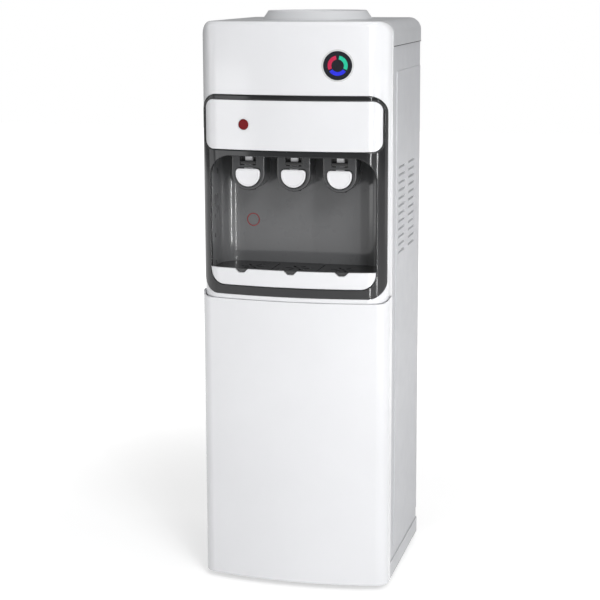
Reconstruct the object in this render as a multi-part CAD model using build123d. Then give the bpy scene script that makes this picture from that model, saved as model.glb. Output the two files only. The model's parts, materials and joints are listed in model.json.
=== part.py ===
from build123d import *
import math
import os

# Free-standing top-loading water cooler, modelled in millimetres.
# Z is up, the front faces -Y, and the origin is at the floor, in the middle of the outline.

# Cabinet
CABINET_WIDTH = 320.0
FRAME_PROUD = 1.5
FRONT_RETURN = 54.5
SIDE_SHEET_DEPTH = 251.0
CONDENSER_REACH = 23.0
FRONT_BOW_RADIUS = 662.0
LOWER_CORNER_RADIUS = 24.0
UPPER_CORNER_RADIUS = 44.0
TOP_CORNER_RADIUS = 21.0
FOOT_HEIGHT = 10.0
LOWER_PANEL_HEIGHT = 484.0
PANEL_SEAM = 1.2
SEAM_CORNER_RADIUS = 12.0
SEAM_SIDE_GAP = 0.6
UPPER_PANEL_HEIGHT = 455.8
PANEL_WALL = 3.0
SHEET = 1.2
SEAT_GAP = 0.3
OVERRUN = 5.0
FRONT_FACING_SHARE = 0.3

# Base
PLINTH_HEIGHT = 27.5
PLINTH_WALL = 2.5
PLINTH_FLOOR = 3.0
PLINTH_EDGE_CHAMFER = 2.0
FOOT_RADIUS = 17.0
FOOT_PAD = 4.0
FOOT_NECK_RADIUS = 11.0
FOOT_STUD_RADIUS = 4.0
FOOT_STUD_RISE = 9.0
FOOT_SIDE_INSET = 30.0
FOOT_FRONT_INSET = 40.0
FOOT_REAR_INSET = 28.0
BASE_SLOT_COUNT = 5
BASE_SLOT_LENGTH = 90.0
BASE_SLOT_WIDTH = 5.0
BASE_SLOT_PITCH = 14.0
BASE_SLOT_SETBACK = 66.0

# Side sheets
SIDE_FLANGE = 13.0
SIDE_BEND = 3.0
FIELD_HEIGHT = 1.6
FIELD_BEVEL = 1.4
FIELD_FRONT_SETBACK = 31.5
FIELD_REAR_SETBACK = 6.5
FIELD_BOTTOM_MARGIN = 19.5
FIELD_TOP_MARGIN = 41.5
VENT_ROWS = 12
VENT_PITCH = 13.0
VENT_DROP = 204.2
VENT_HEIGHT = 4.0
VENT_LENGTH = 57.0
VENT_SETBACK = 48.0
VENT_COLUMN_PITCH = 87.5
VENT_REACH = 3.2
VENT_SLIT = 1.2

# Rear
REAR_OPENING_HEIGHT = 262.5
REAR_LIP = 10.0
CONDENSER_TUBE_RADIUS = 2.4
CONDENSER_WIRE = 1.5
CONDENSER_RUNS = 12
CONDENSER_SIDE_MARGIN = 52.0
CONDENSER_RISE = 72.0
CONDENSER_DROP = 55.0
CONDENSER_WIRES = 17
CONDENSER_WIRE_OVERHANG = 8.0
BRACKET_WIDTH = 14.0
BRACKET_HEIGHT = 16.0
BRACKET_INSET = 17.0
BRACKET_LOW_COUNT = 2
BRACKET_HIGH_COUNT = 9

# Top cover and bottle seat
COVER_SKIRT = 40.0
COVER_WALL = 2.5
COVER_REAR_RADIUS = 5.0
COVER_TONGUE = 8.0
SEAT_REAR_MARGIN = 112.0
COLLAR_RISE = 14.0
COLLAR_BASE_RADIUS = 93.5
COLLAR_TOP_RADIUS = 84.0
COLLAR_RIM_WIDTH = 4.0
COLLAR_RIM_ROUND = 1.5
COLLAR_THROAT_RADIUS = 70.0
COLLAR_SKIRT = 9.0
COLLAR_WALL = 3.0
HOLDER_GAP = 0.4
FUNNEL_DEPTH = 26.0
CUP_RADIUS = 30.5
CUP_DEPTH = 42.0
CUP_WALL = 2.5
SPIGOT_RADIUS = 12.0
SPIGOT_LENGTH = 14.0
PROBE_RADIUS = 7.0
PROBE_TIP_RADIUS = 4.0
PROBE_HEIGHT = 50.0
PROBE_FLANGE_RADIUS = 14.0
PROBE_FLANGE = 3.0

# Fascia frame and control strip
FRAME_SIDE_MARGIN = 4.5
FRAME_SEAM_MARGIN = 6.8
FRAME_CORNER_RADIUS = 28.0
FRAME_DEPTH = 7.0
FRAME_EDGE_ROUND = 1.2
NICHE_EDGE_ROUND = 2.2
FRAME_TOP_BAND = 9.0
FRAME_MIDDLE_BAND = 10.5
FRAME_BOTTOM_BAND = 16.0
STRIP_SIDE_BAND = 7.0
STRIP_HEIGHT = 81.0
STRIP_CORNER_RADIUS = 15.0
STRIP_PROUD = 0.9
STRIP_EDGE_ROUND = 0.8
STRIP_WALL = 3.0
NICHE_SIDE_BAND = 15.5
NICHE_HEIGHT = 215.0
NICHE_TOP_RADIUS = 37.0
TRAY_CORNER_RADIUS = 25.0

# Dispensing niche liner
LINER_WALL = 2.5
NICHE_DEPTH = 98.5
LINER_CORNER_RADIUS = 34.0
LINER_CEILING_RISE = 6.0
LINER_FLANGE = 8.0

# Drip tray and grille
TRAY_WALL = 2.4
TRAY_LIP_HEIGHT = 28.0
TRAY_FRONT_WALL = 4.0
TRAY_GAP = 0.4
TRAY_BODY_HEIGHT = 22.0
TRAY_PROUD = 0.5
GRILLE_THICKNESS = 3.2
GRILLE_GAP = 0.5
GRILLE_HOLE_RADIUS = 3.0
GRILLE_SLOT_COUNT = 6
GRILLE_SLOT_LENGTH = 12.0
GRILLE_SLOT_WIDTH = 3.4
GRILLE_SLOT_RADIUS = 14.0
GRILLE_GROOVE_WIDTH = 1.6
GRILLE_GROOVE_DEPTH = 1.0
GRILLE_GROOVE_INSET = 16.0
NOTCH_PITCH = 85.0
NOTCH_HALF_WIDTH = 11.5
NOTCH_FLOOR_HALF_WIDTH = 4.5
NOTCH_DEPTH = 6.5
NOTCH_ROUND = 2.5
TONGUE_SETBACK = 1.0

# Taps
TAP_PITCH = 77.5
TAP_SETBACK = 24.5
TAP_HALF_WIDTH = 28.4
TAP_DROP = 36.0
TAP_DEPTH = 36.0
TAP_EDGE_ROUND = 2.8
TAP_RECESS_DEPTH = 13.0
PADDLE_HALF_WIDTH = 20.6
PADDLE_TOP_RISE = 9.0
PADDLE_DROP = 1.2
PADDLE_TOP_RADIUS = 6.0
PADDLE_EDGE_ROUND = 1.8
PADDLE_RIM = 3.2
PADDLE_DISH = 0.6
PADDLE_PROUD = 4.0
PADDLE_PLATE = 4.0
PADDLE_GAP = 1.4
PADDLE_ARM_HALF_WIDTH = 7.0
PADDLE_ARM_DROP = 10.0
PADDLE_ARM_STEP = 1.0
PIN_RADIUS = 1.2
PIN_SETBACK = 6.0
PIN_RISE = 3.5
PIN_HALF_LENGTH = 12.0
PIN_BOSS_RADIUS = 3.4
PIN_RUNNING_FIT = 0.06
LUG_HALF_WIDTH = 6.1
LUG_RISE = 16.7
LUG_SETBACK = 10.0
LUG_DEPTH = 6.0
LUG_ROUND = 1.4
POCKET_RISE = 5.7
POCKET_BOTTOM_HALF_WIDTH = 13.2
POCKET_TOP_HALF_WIDTH = 14.5
BRIDGE_THICKNESS = 2.0
ARM_GAP = 0.6
ARM_PASSAGE_RISE = 11.0
SPOUT_SETBACK = 23.0
SPOUT_RADIUS = 7.0
SPOUT_BORE_RADIUS = 4.5
SPOUT_DROP = 1.5
SPOUT_LENGTH = 30.0
SPOUT_FIT = 0.1
BARB_RADIUS = 5.0
BARB_RISE = 8.0
BARB_CLEARANCE = 0.3

# Status dial
DIAL_SIDE_INSET = 81.4
DIAL_DROP = 69.5
DIAL_RADIUS = 23.2
DIAL_BEZEL = 2.6
DIAL_LENS_DEPTH = 4.0
DIAL_BEZEL_PROUD = 1.0
DIAL_LENS_PROUD = 0.4
LIGHT_INNER_RADIUS = 10.0
LIGHT_OUTER_RADIUS = 16.0
LIGHT_PROUD = 0.6
LIGHT_DEPTH = 1.6
LIGHT_ANGLES = {"red": (100, 205), "green": (-25, 80), "blue": (-145, -35)}
BOARD_THICKNESS = 1.6
BOARD_HALF_WIDTH = 34.0
BOARD_HALF_HEIGHT = 27.0
BOARD_STANDOFF = 12.0
BOARD_POST_RADIUS = 3.0
BOARD_POST_INSET = 5.0

# Hot water lock button
BUTTON_SIDE_INSET = 81.3
BUTTON_RISE = 41.5
BUTTON_RADIUS = 8.6
BUTTON_LENGTH = 13.0
BUTTON_PROUD = 1.6
BUTTON_EDGE_ROUND = 1.2
BUTTON_GAP = 0.3
BUTTON_END_GAP = 2.0
BUTTON_BEZEL = 2.2
BUTTON_BEZEL_PROUD = 0.7
BUTTON_TRAVEL = 3.0
LOCK_SWITCH_WIDTH = 24.0
LOCK_SWITCH_HEIGHT = 14.0
LOCK_SWITCH_DEPTH = 8.0

# Tanks
SHELF_DROP = 166.0
SHELF_FLANGE = 16.0
SHELF_PIPE_RADIUS = 9.0
COLD_TANK_RADIUS = 70.0
COLD_TANK_ROUND = 12.0
COLD_NECK_RADIUS = 18.0
COLD_NECK_HEIGHT = 14.0
TANK_WALL = 1.2
SLEEVE_THICKNESS = 3.0
SLEEVE_BOTTOM_RISE = 18.0
SLEEVE_HEIGHT = 56.0
FOAM_THICKNESS = 20.0
FOAM_FLOOR = 18.0
FOAM_LID = 10.0
HOT_TANK_X = -62.0
HOT_TANK_REAR_MARGIN = 102.0
HOT_TANK_RADIUS = 42.0
HOT_TANK_HEIGHT = 118.0
HOT_TANK_ROUND = 10.0
HOT_TANK_DROP = 16.0
HEATER_THICKNESS = 4.0
HEATER_HEIGHT = 30.0
HEATER_RISE = 22.0
BRACKET_HALF_WIDTH = 20.0
BRACKET_HALF_DEPTH = 24.0
BRACKET_SHEET = 2.0
HOSE_RADIUS = 6.0
HOSE_BEND = 14.0
HOSE_RISE = 40.0
HOSE_LEAD = 26.0
COLD_PORT_X = 40.0
HOT_RISER_SIDE_MARGIN = 26.0
HOT_RISER_LEAD = 10.0
HOT_PORT_DROP = 20.0
ROOM_PORT_RISE = 30.0

# Refrigeration
COMPRESSOR_X = 20.0
COMPRESSOR_REAR_MARGIN = 92.0
COMPRESSOR_RADIUS = 52.0
COMPRESSOR_HEIGHT = 136.0
COMPRESSOR_DOME = 32.0
COMPRESSOR_SEAM = 3.0
COMPRESSOR_PLATE_HALF_WIDTH = 78.0
COMPRESSOR_PLATE_HALF_DEPTH = 50.0
COMPRESSOR_PLATE = 3.0
MOUNT_RADIUS = 12.0
MOUNT_HEIGHT = 20.0
MOUNT_INSET = 13.0
TERMINAL_WIDTH = 46.0
TERMINAL_DEPTH = 22.0
TERMINAL_HEIGHT = 50.0
TERMINAL_RISE = 45.0
DRIER_RADIUS = 9.0
DRIER_LENGTH = 90.0
DRIER_SIDE_MARGIN = 38.0
DRIER_REAR_MARGIN = 24.0
DRIER_RISE = 152.5
DRIER_BEND = 8.0
LIQUID_PIPE_DROP = 9.0
DISCHARGE_PIPE_SIDE_MARGIN = 20.0
DISCHARGE_PIPE_REAR_MARGIN = 9.0
DISCHARGE_PIPE_DROP = 40.0
DISCHARGE_PORT_LEAD = 20.0
DISCHARGE_PORT_RISE = 92.0
SUCTION_PIPE_SIDE_MARGIN = 26.0
SUCTION_PORT_RISE = 82.0
PIPE_RADIUS = 3.0
PIPE_BEND = 10.0

# Rear services
SERVICE_SIDE_MARGIN = 56.0
SERVICE_RISE = 35.0
SWITCH_PITCH = 30.0
ROCKER_HALF_WIDTH = 9.0
ROCKER_HALF_HEIGHT = 12.0
ROCKER_FRONT = 4.0
ROCKER_CROWN = 1.5
ROCKER_BACK = 5.0
ROCKER_GAP = 0.4
ROCKER_TILT = 8.0
ROCKER_AXLE_REACH = 2.0
ROCKER_AXLE_RADIUS = 2.0
BEZEL_MARGIN = 4.0
BEZEL_PROUD = 3.0
BEZEL_DEPTH = 14.0
GLAND_RADIUS = 11.0
GLAND_NUT_RADIUS = 14.0
GLAND_BORE_RADIUS = 4.2
GLAND_PROUD = 14.0
GLAND_FLANGE = 4.0
DRAIN_PITCH = 46.0
DRAIN_RADIUS = 9.0
DRAIN_BORE_RADIUS = 6.0
DRAIN_PROUD = 10.0
DRAIN_FLANGE_RADIUS = 14.0
DRAIN_FLANGE = 3.0
DRAIN_INNER = 12.0
CAP_RADIUS = 12.0
CAP_LENGTH = 9.0
CAP_WALL = 2.4
CAP_RIBS = 8
CAP_GROOVE_RADIUS = 1.4

# Places worked out from the sizes above
HALF_WIDTH = CABINET_WIDTH / 2
OVERALL_DEPTH = FRAME_PROUD + FRONT_RETURN + SIDE_SHEET_DEPTH + CONDENSER_REACH
FRONT_Y = -OVERALL_DEPTH / 2
APEX_Y = FRONT_Y + FRAME_PROUD
RETURN_Y = APEX_Y + FRONT_RETURN
REAR_SHEET_Y = RETURN_Y + SIDE_SHEET_DEPTH
REAR_Y = REAR_SHEET_Y + CONDENSER_REACH
REAR_FACE_Y = REAR_SHEET_Y - SHEET
BASE_TOP = FOOT_HEIGHT + PLINTH_HEIGHT
SEAM_Z = FOOT_HEIGHT + LOWER_PANEL_HEIGHT
UPPER_BOTTOM = SEAM_Z + PANEL_SEAM
TOP_Z = UPPER_BOTTOM + UPPER_PANEL_HEIGHT
COVER_BOTTOM = TOP_Z - COVER_SKIRT
SHEET_FACE = HALF_WIDTH - FIELD_HEIGHT
FRAME_HALF_WIDTH = HALF_WIDTH - FRAME_SIDE_MARGIN
FRAME_BOTTOM = UPPER_BOTTOM + FRAME_SEAM_MARGIN
TRAY_BOTTOM = FRAME_BOTTOM + FRAME_BOTTOM_BAND
TRAY_LIP = TRAY_BOTTOM + TRAY_LIP_HEIGHT
TRAY_BODY_TOP = TRAY_BOTTOM + TRAY_BODY_HEIGHT
NICHE_HALF_WIDTH = FRAME_HALF_WIDTH - NICHE_SIDE_BAND
NICHE_TOP = TRAY_BOTTOM + NICHE_HEIGHT
STRIP_HALF_WIDTH = FRAME_HALF_WIDTH - STRIP_SIDE_BAND
STRIP_BOTTOM = NICHE_TOP + FRAME_MIDDLE_BAND
STRIP_TOP = STRIP_BOTTOM + STRIP_HEIGHT
FRAME_TOP = STRIP_TOP + FRAME_TOP_BAND
LINER_BACK_Y = APEX_Y + NICHE_DEPTH
LINER_CEILING = NICHE_TOP + LINER_CEILING_RISE
TAP_XS = {"hot": -TAP_PITCH, "room": 0.0, "cold": TAP_PITCH}
TAP_FRONT_Y = APEX_Y + TAP_SETBACK
TAP_CENTRE_Z = LINER_CEILING - TAP_DROP
PADDLE_CENTRE_Z = TAP_CENTRE_Z - PADDLE_DROP
PADDLE_TOP = PADDLE_CENTRE_Z + PADDLE_TOP_RISE
POCKET_BOTTOM = PADDLE_TOP + POCKET_RISE
PIN_Y = TAP_FRONT_Y + PIN_SETBACK
PIN_Z = PADDLE_TOP + PIN_RISE
SPOUT_Y = TAP_FRONT_Y + SPOUT_SETBACK
DIAL_Z = TOP_Z - DIAL_DROP
BUTTON_Z = STRIP_BOTTOM + BUTTON_RISE
SEAT_Y = REAR_SHEET_Y - SEAT_REAR_MARGIN
SEAT_FLOOR_Z = TOP_Z - COLLAR_SKIRT - FUNNEL_DEPTH - CUP_DEPTH - CUP_WALL
SHELF_Z = COVER_BOTTOM - SHELF_DROP
SHELF_TOP = SHELF_Z + SHEET
COLD_TANK_TOP = SEAT_FLOOR_Z - HOLDER_GAP - COLD_NECK_HEIGHT
COLD_TANK_BOTTOM = SHELF_TOP + FOAM_FLOOR
FOAM_RADIUS = COLD_TANK_RADIUS + FOAM_THICKNESS
HOT_TANK_Y = REAR_SHEET_Y - HOT_TANK_REAR_MARGIN
HOT_TANK_TOP = SHELF_Z - HOT_TANK_DROP
HOT_TANK_BOTTOM = HOT_TANK_TOP - HOT_TANK_HEIGHT
HOT_RISER_X = HOT_RISER_SIDE_MARGIN - HALF_WIDTH
HOT_RISER_Y = SEAT_Y - HOT_RISER_LEAD
HOSE_LEVEL = SHELF_TOP + HOSE_RISE
MOUNT_TOP = FOOT_HEIGHT + PLINTH_FLOOR + MOUNT_HEIGHT
COMPRESSOR_Y = REAR_SHEET_Y - COMPRESSOR_REAR_MARGIN
COMPRESSOR_BOTTOM = MOUNT_TOP + COMPRESSOR_PLATE
REAR_OPENING_TOP = BASE_TOP + REAR_OPENING_HEIGHT
CONDENSER_Y = REAR_Y - CONDENSER_WIRE - CONDENSER_TUBE_RADIUS
CONDENSER_HALF_WIDTH = HALF_WIDTH - CONDENSER_SIDE_MARGIN
CONDENSER_BOTTOM = REAR_OPENING_TOP + CONDENSER_RISE
CONDENSER_TOP = COVER_BOTTOM - CONDENSER_DROP
CONDENSER_PITCH = (CONDENSER_TOP - CONDENSER_BOTTOM) / (CONDENSER_RUNS - 1)
BRACKET_X = CONDENSER_HALF_WIDTH - BRACKET_INSET
DRIER_X = DRIER_SIDE_MARGIN - HALF_WIDTH
DRIER_Y = REAR_SHEET_Y - DRIER_REAR_MARGIN
DRIER_Z = BASE_TOP + DRIER_RISE
LIQUID_PIPE_Z = REAR_OPENING_TOP - LIQUID_PIPE_DROP
DISCHARGE_PIPE_X = DISCHARGE_PIPE_SIDE_MARGIN - HALF_WIDTH
DISCHARGE_PIPE_Y = REAR_SHEET_Y - DISCHARGE_PIPE_REAR_MARGIN
DISCHARGE_PIPE_Z = REAR_OPENING_TOP - DISCHARGE_PIPE_DROP
DISCHARGE_PORT_X = COMPRESSOR_X + DISCHARGE_PORT_LEAD
DISCHARGE_PORT_Z = BASE_TOP + DISCHARGE_PORT_RISE
SUCTION_PIPE_X = HALF_WIDTH - SUCTION_PIPE_SIDE_MARGIN
SUCTION_PORT_Z = BASE_TOP + SUCTION_PORT_RISE
SERVICE_Z = REAR_OPENING_TOP + SERVICE_RISE
DIAL_X = HALF_WIDTH - DIAL_SIDE_INSET
BUTTON_X = BUTTON_SIDE_INSET - HALF_WIDTH
SWITCH_X = SERVICE_SIDE_MARGIN - HALF_WIDTH
GLAND_X = HALF_WIDTH - SERVICE_SIDE_MARGIN


def z_prism(face, low, high):
    """A flat plan outline raised from one height to another."""
    return extrude(Pos(0, 0, low) * face, high - low, dir=(0, 0, 1))


def y_prism(face, front, back):
    """A front-view outline carried from one depth to another."""
    return extrude(Pos(0, front, 0) * face, back - front, dir=(0, 1, 0))


def front_rectangle(half_width, bottom, top, top_radius, bottom_radius):
    """A front-view rectangle whose upper and lower corners have their own radii."""
    sketch = Pos(0, (bottom + top) / 2) * Rectangle(2 * half_width, top - bottom)
    if bottom_radius:
        sketch = fillet(sketch.vertices().group_by(Axis.Y)[0], bottom_radius)
    if top_radius:
        sketch = fillet(sketch.vertices().group_by(Axis.Y)[-1], top_radius)
    return Plane.XZ * sketch


def front_disc(x, z, radius):
    """A front-view disc."""
    return Plane.XZ * (Pos(x, z) * Circle(radius))


def bowed_plan(inset, back, corner_radius=UPPER_CORNER_RADIUS):
    """The bowed plan outline of the front, moved in by the inset and closed at the back."""
    half = HALF_WIDTH - inset
    apex = APEX_Y + inset
    bow = FRONT_BOW_RADIUS - inset
    corner_y = apex + bow - math.sqrt(bow ** 2 - half ** 2)
    outline = ThreePointArc((-half, corner_y), (0, apex), (half, corner_y))
    outline += Polyline((half, corner_y), (half, REAR_Y), (-half, REAR_Y), (-half, corner_y))
    plan = make_face(outline)
    plan = fillet(plan.vertices().group_by(Axis.Y)[0], corner_radius - inset)
    return plan & plan_rectangle(HALF_WIDTH + OVERRUN, FRONT_Y - OVERRUN, back)


def front_patch(face, proud, depth):
    """The piece of a bowed shell that lies within a front-view outline."""
    outer = bowed_plan(-proud, RETURN_Y)
    inner = bowed_plan(depth - proud, RETURN_Y + OVERRUN)
    shell = z_prism(outer - inner, FOOT_HEIGHT, TOP_Z)
    return shell & y_prism(face, FRONT_Y - OVERRUN, RETURN_Y)


def front_edges(body):
    """The edges round a bowed body's front, without the smooth lines inside it."""
    counts = {}
    for face in body.faces():
        if face.normal_at().Y < -FRONT_FACING_SHARE:
            for edge in face.edges():
                counts[edge] = counts.get(edge, 0) + 1
    return [edge for edge, count in counts.items() if count == 1]


def plan_rectangle(half_width, front, back):
    """A plan rectangle centred left to right."""
    return Pos(0, (front + back) / 2) * Rectangle(2 * half_width, back - front)


def block(left, right, front, back, low, high):
    """A rectangular block between its six faces."""
    place = Pos((left + right) / 2, (front + back) / 2, (low + high) / 2)
    return place * Box(right - left, back - front, high - low)


def post(x, y, radius, low, high):
    """An upright cylinder."""
    return Pos(x, y, (low + high) / 2) * Cylinder(radius, high - low)


def rod_y(x, z, radius, front, back):
    """A cylinder that runs front to back."""
    return Pos(x, (front + back) / 2, z) * Rot(90, 0, 0) * Cylinder(radius, back - front)


def rod_x(y, z, radius, left, right):
    """A cylinder that runs left to right."""
    return Pos((left + right) / 2, y, z) * Rot(0, 90, 0) * Cylinder(radius, right - left)


def turned(x, y, points):
    """A body turned about an upright axis from its radius and height outline."""
    profile = make_face(Plane.XZ * Polyline(*points, close=True))
    return Pos(x, y, 0) * revolve(profile, Axis.Z)


def tube(points, radius, bend):
    """A round bar along straight runs joined by tangent arcs."""
    path = FilletPolyline(*points, radius=bend)
    start = Vector(*points[0])
    heading = (Vector(*points[1]) - start).normalized()
    section = Plane(origin=start, z_dir=heading) * Circle(radius)
    return sweep(section, path=path)


def base_plan(inset):
    """The plan of the base: the bowed front inside the panel and the straight body behind."""
    front = bowed_plan(PANEL_WALL + inset, REAR_SHEET_Y - inset, LOWER_CORNER_RADIUS)
    body = plan_rectangle(HALF_WIDTH - inset, RETURN_Y + inset, REAR_SHEET_Y - inset)
    return front + body


def foot_places():
    """The four places of the feet."""
    x = HALF_WIDTH - FOOT_SIDE_INSET
    front = RETURN_Y - FOOT_FRONT_INSET + FRONT_RETURN
    rear = REAR_SHEET_Y - FOOT_REAR_INSET
    return [(-x, front), (x, front), (-x, rear), (x, rear)]


def base_pan():
    """The moulded base: an open tray with a chamfered rear edge, foot holes and air slots."""
    pan = z_prism(base_plan(0), FOOT_HEIGHT, BASE_TOP)
    pan -= z_prism(base_plan(PLINTH_WALL), FOOT_HEIGHT + PLINTH_FLOOR, BASE_TOP + OVERRUN)
    rear_edge = pan.edges().filter_by(Axis.X).group_by(Axis.Y)[-1].group_by(Axis.Z)[0]
    pan = chamfer(rear_edge, PLINTH_EDGE_CHAMFER)
    for x, y in foot_places():
        pan -= post(x, y, FOOT_STUD_RADIUS + SEAT_GAP, 0, BASE_TOP)
    for number in range(BASE_SLOT_COUNT):
        y = RETURN_Y + BASE_SLOT_SETBACK + (number - (BASE_SLOT_COUNT - 1) / 2) * BASE_SLOT_PITCH
        slot = Pos(0, y) * SlotOverall(BASE_SLOT_LENGTH, BASE_SLOT_WIDTH)
        pan -= z_prism(slot, 0, BASE_TOP)
    return pan


def levelling_feet():
    """Four turned feet with their studs through the base floor."""
    feet = []
    for x, y in foot_places():
        feet.append(turned(x, y, [
            (0, 0),
            (FOOT_RADIUS, 0),
            (FOOT_RADIUS, FOOT_PAD),
            (FOOT_NECK_RADIUS, FOOT_HEIGHT),
            (FOOT_STUD_RADIUS, FOOT_HEIGHT),
            (FOOT_STUD_RADIUS, FOOT_HEIGHT + FOOT_STUD_RISE),
            (0, FOOT_HEIGHT + FOOT_STUD_RISE),
        ]))
    return feet


def field_outline():
    """The side-view outline of the raised field in a side sheet."""
    front = RETURN_Y + FIELD_FRONT_SETBACK
    rear = REAR_SHEET_Y - FIELD_REAR_SETBACK
    low = BASE_TOP + FIELD_BOTTOM_MARGIN
    high = COVER_BOTTOM - FIELD_TOP_MARGIN
    place = Pos((front + rear) / 2, (low + high) / 2)
    return Plane.YZ * (place * Rectangle(rear - front, high - low))


def vent_places():
    """Front lower corners of the vents, as depth and height."""
    places = []
    for column in range(2):
        for row in range(VENT_ROWS):
            y = RETURN_Y + VENT_SETBACK + column * VENT_COLUMN_PITCH
            places.append((y, COVER_BOTTOM - VENT_DROP - row * VENT_PITCH))
    return places


def vent_blade(y, z):
    """A vent's inward blade, rising from the slot's lower edge to a slit, with both ends closed."""
    tip_x = HALF_WIDTH - VENT_REACH
    tip_z = z + VENT_HEIGHT - VENT_SLIT
    blade = Plane.XZ * Polyline(
        (HALF_WIDTH, z - SHEET),
        (HALF_WIDTH, z),
        (tip_x, tip_z),
        (tip_x, tip_z - SHEET),
        close=True,
    )
    cheek = Plane.XZ * Polyline(
        (HALF_WIDTH, z - SHEET),
        (HALF_WIDTH, z + VENT_HEIGHT),
        (tip_x, z + VENT_HEIGHT),
        (tip_x, tip_z - SHEET),
        close=True,
    )
    end = y + VENT_LENGTH
    shape = y_prism(make_face(blade), y, end)
    shape += y_prism(make_face(cheek), y, y + SHEET)
    return shape + y_prism(make_face(cheek), end - SHEET, end)


def right_side_panel():
    """A folded side sheet with a raised field and two columns of vents."""
    outer = Rectangle(SIDE_FLANGE, SIDE_SHEET_DEPTH)
    outer = fillet(outer.vertices().group_by(Axis.X)[-1], SIDE_BEND)
    hollow = Pos(-SHEET) * Rectangle(SIDE_FLANGE, SIDE_SHEET_DEPTH - 2 * SHEET)
    hollow = fillet(hollow.vertices().group_by(Axis.X)[-1], SIDE_BEND - SHEET)
    middle = Pos(SHEET_FACE - SIDE_FLANGE / 2, (RETURN_Y + REAR_SHEET_Y) / 2)
    panel = z_prism(middle * (outer - hollow), BASE_TOP, COVER_BOTTOM)
    panel -= extrude(Pos(SHEET_FACE - SHEET) * field_outline(), SHEET + OVERRUN, dir=(1, 0, 0))
    field = extrude(Pos(SHEET_FACE - SHEET) * field_outline(), SHEET + FIELD_HEIGHT, dir=(1, 0, 0))
    field = chamfer(field.edges().group_by(Axis.X)[-1], FIELD_BEVEL)
    recess = offset(field_outline(), -FIELD_BEVEL)
    panel += field - extrude(Pos(SHEET_FACE - SHEET) * recess, FIELD_HEIGHT, dir=(1, 0, 0))
    slots = []
    blades = []
    for y, z in vent_places():
        inner = HALF_WIDTH - SHEET - OVERRUN
        slots.append(block(inner, HALF_WIDTH, y, y + VENT_LENGTH, z, z + VENT_HEIGHT))
        blades.append(vent_blade(y, z))
    return panel - slots + blades


def left_side_panel():
    """The mirror image of the right side sheet."""
    return mirror(right_side_panel(), about=Plane.YZ)


def rear_panel():
    """The rear sheet, screwed inside the side flanges, open below for the compressor."""
    back = REAR_SHEET_Y - SHEET
    half = SHEET_FACE - SHEET - SIDE_BEND
    panel = block(-half, half, back - SHEET, back, REAR_OPENING_TOP, COVER_BOTTOM)
    panel += block(-half, half, back - REAR_LIP, back, REAR_OPENING_TOP, REAR_OPENING_TOP + SHEET)
    for z in rocker_heights():
        panel -= block(
            SWITCH_X - ROCKER_HALF_WIDTH - BEZEL_MARGIN / 2,
            SWITCH_X + ROCKER_HALF_WIDTH + BEZEL_MARGIN / 2,
            back - SHEET - OVERRUN,
            back + OVERRUN,
            z - ROCKER_HALF_HEIGHT - BEZEL_MARGIN / 2,
            z + ROCKER_HALF_HEIGHT + BEZEL_MARGIN / 2,
        )
    panel -= rod_y(GLAND_X, SERVICE_Z, GLAND_RADIUS, back - SHEET - OVERRUN, back + OVERRUN)
    for x in drain_places():
        panel -= rod_y(x, SERVICE_Z, DRAIN_RADIUS, back - SHEET - OVERRUN, back + OVERRUN)
    return panel


def condenser_coil():
    """The serpentine condenser tube: level runs joined by half turns."""
    y = CONDENSER_Y
    turn = CONDENSER_PITCH / 2
    path = []
    side = -1
    for run in range(CONDENSER_RUNS):
        z = CONDENSER_BOTTOM + run * CONDENSER_PITCH
        end = -side * CONDENSER_HALF_WIDTH
        path.append(Line((-end, y, z), (end, y, z)))
        if run < CONDENSER_RUNS - 1:
            tip = end - side * turn
            path.append(ThreePointArc((end, y, z), (tip, y, z + turn), (end, y, z + 2 * turn)))
        side = -side
    start = Plane(origin=(-CONDENSER_HALF_WIDTH, y, CONDENSER_BOTTOM), z_dir=(1, 0, 0))
    print("least gap of the condenser tube to itself", CONDENSER_PITCH - 2 * CONDENSER_TUBE_RADIUS)
    return sweep(start * Circle(CONDENSER_TUBE_RADIUS), path=Wire(path))


def condenser_wires():
    """Upright wires welded across the back of the condenser runs."""
    low = CONDENSER_BOTTOM - CONDENSER_WIRE_OVERHANG
    high = CONDENSER_TOP + CONDENSER_WIRE_OVERHANG
    front = REAR_Y - CONDENSER_WIRE
    wires = []
    for number in range(CONDENSER_WIRES):
        x = CONDENSER_HALF_WIDTH * (2 * number / (CONDENSER_WIRES - 1) - 1)
        left = x - CONDENSER_WIRE / 2
        wires.append(block(left, left + CONDENSER_WIRE, front, REAR_Y, low, high))
    return wires


def condenser_brackets():
    """Moulded spacers between the rear sheet and the condenser tube."""
    y = CONDENSER_Y
    brackets = []
    for run in (BRACKET_LOW_COUNT, BRACKET_HIGH_COUNT):
        z = CONDENSER_BOTTOM + run * CONDENSER_PITCH
        for x in (-BRACKET_X, BRACKET_X):
            spacer = block(
                x - BRACKET_WIDTH / 2,
                x + BRACKET_WIDTH / 2,
                REAR_SHEET_Y - SHEET,
                y,
                z - BRACKET_HEIGHT / 2,
                z + BRACKET_HEIGHT / 2,
            )
            groove = rod_x(y, z, CONDENSER_TUBE_RADIUS, x - BRACKET_WIDTH, x + BRACKET_WIDTH)
            brackets.append(spacer - groove)
    return brackets


def cap_outline(inset, low, high, low_radius=0):
    """The front-view outline of the cabinet's top, with its rounded shoulders."""
    return front_rectangle(HALF_WIDTH - inset, low, high - inset, TOP_CORNER_RADIUS - inset, low_radius)


def hollow_front(inset, low, high, back):
    """The bowed front body between two heights, moved in by the inset."""
    body = z_prism(bowed_plan(inset, back), low, high)
    return body & y_prism(cap_outline(inset, low, TOP_Z), FRONT_Y, back)


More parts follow.
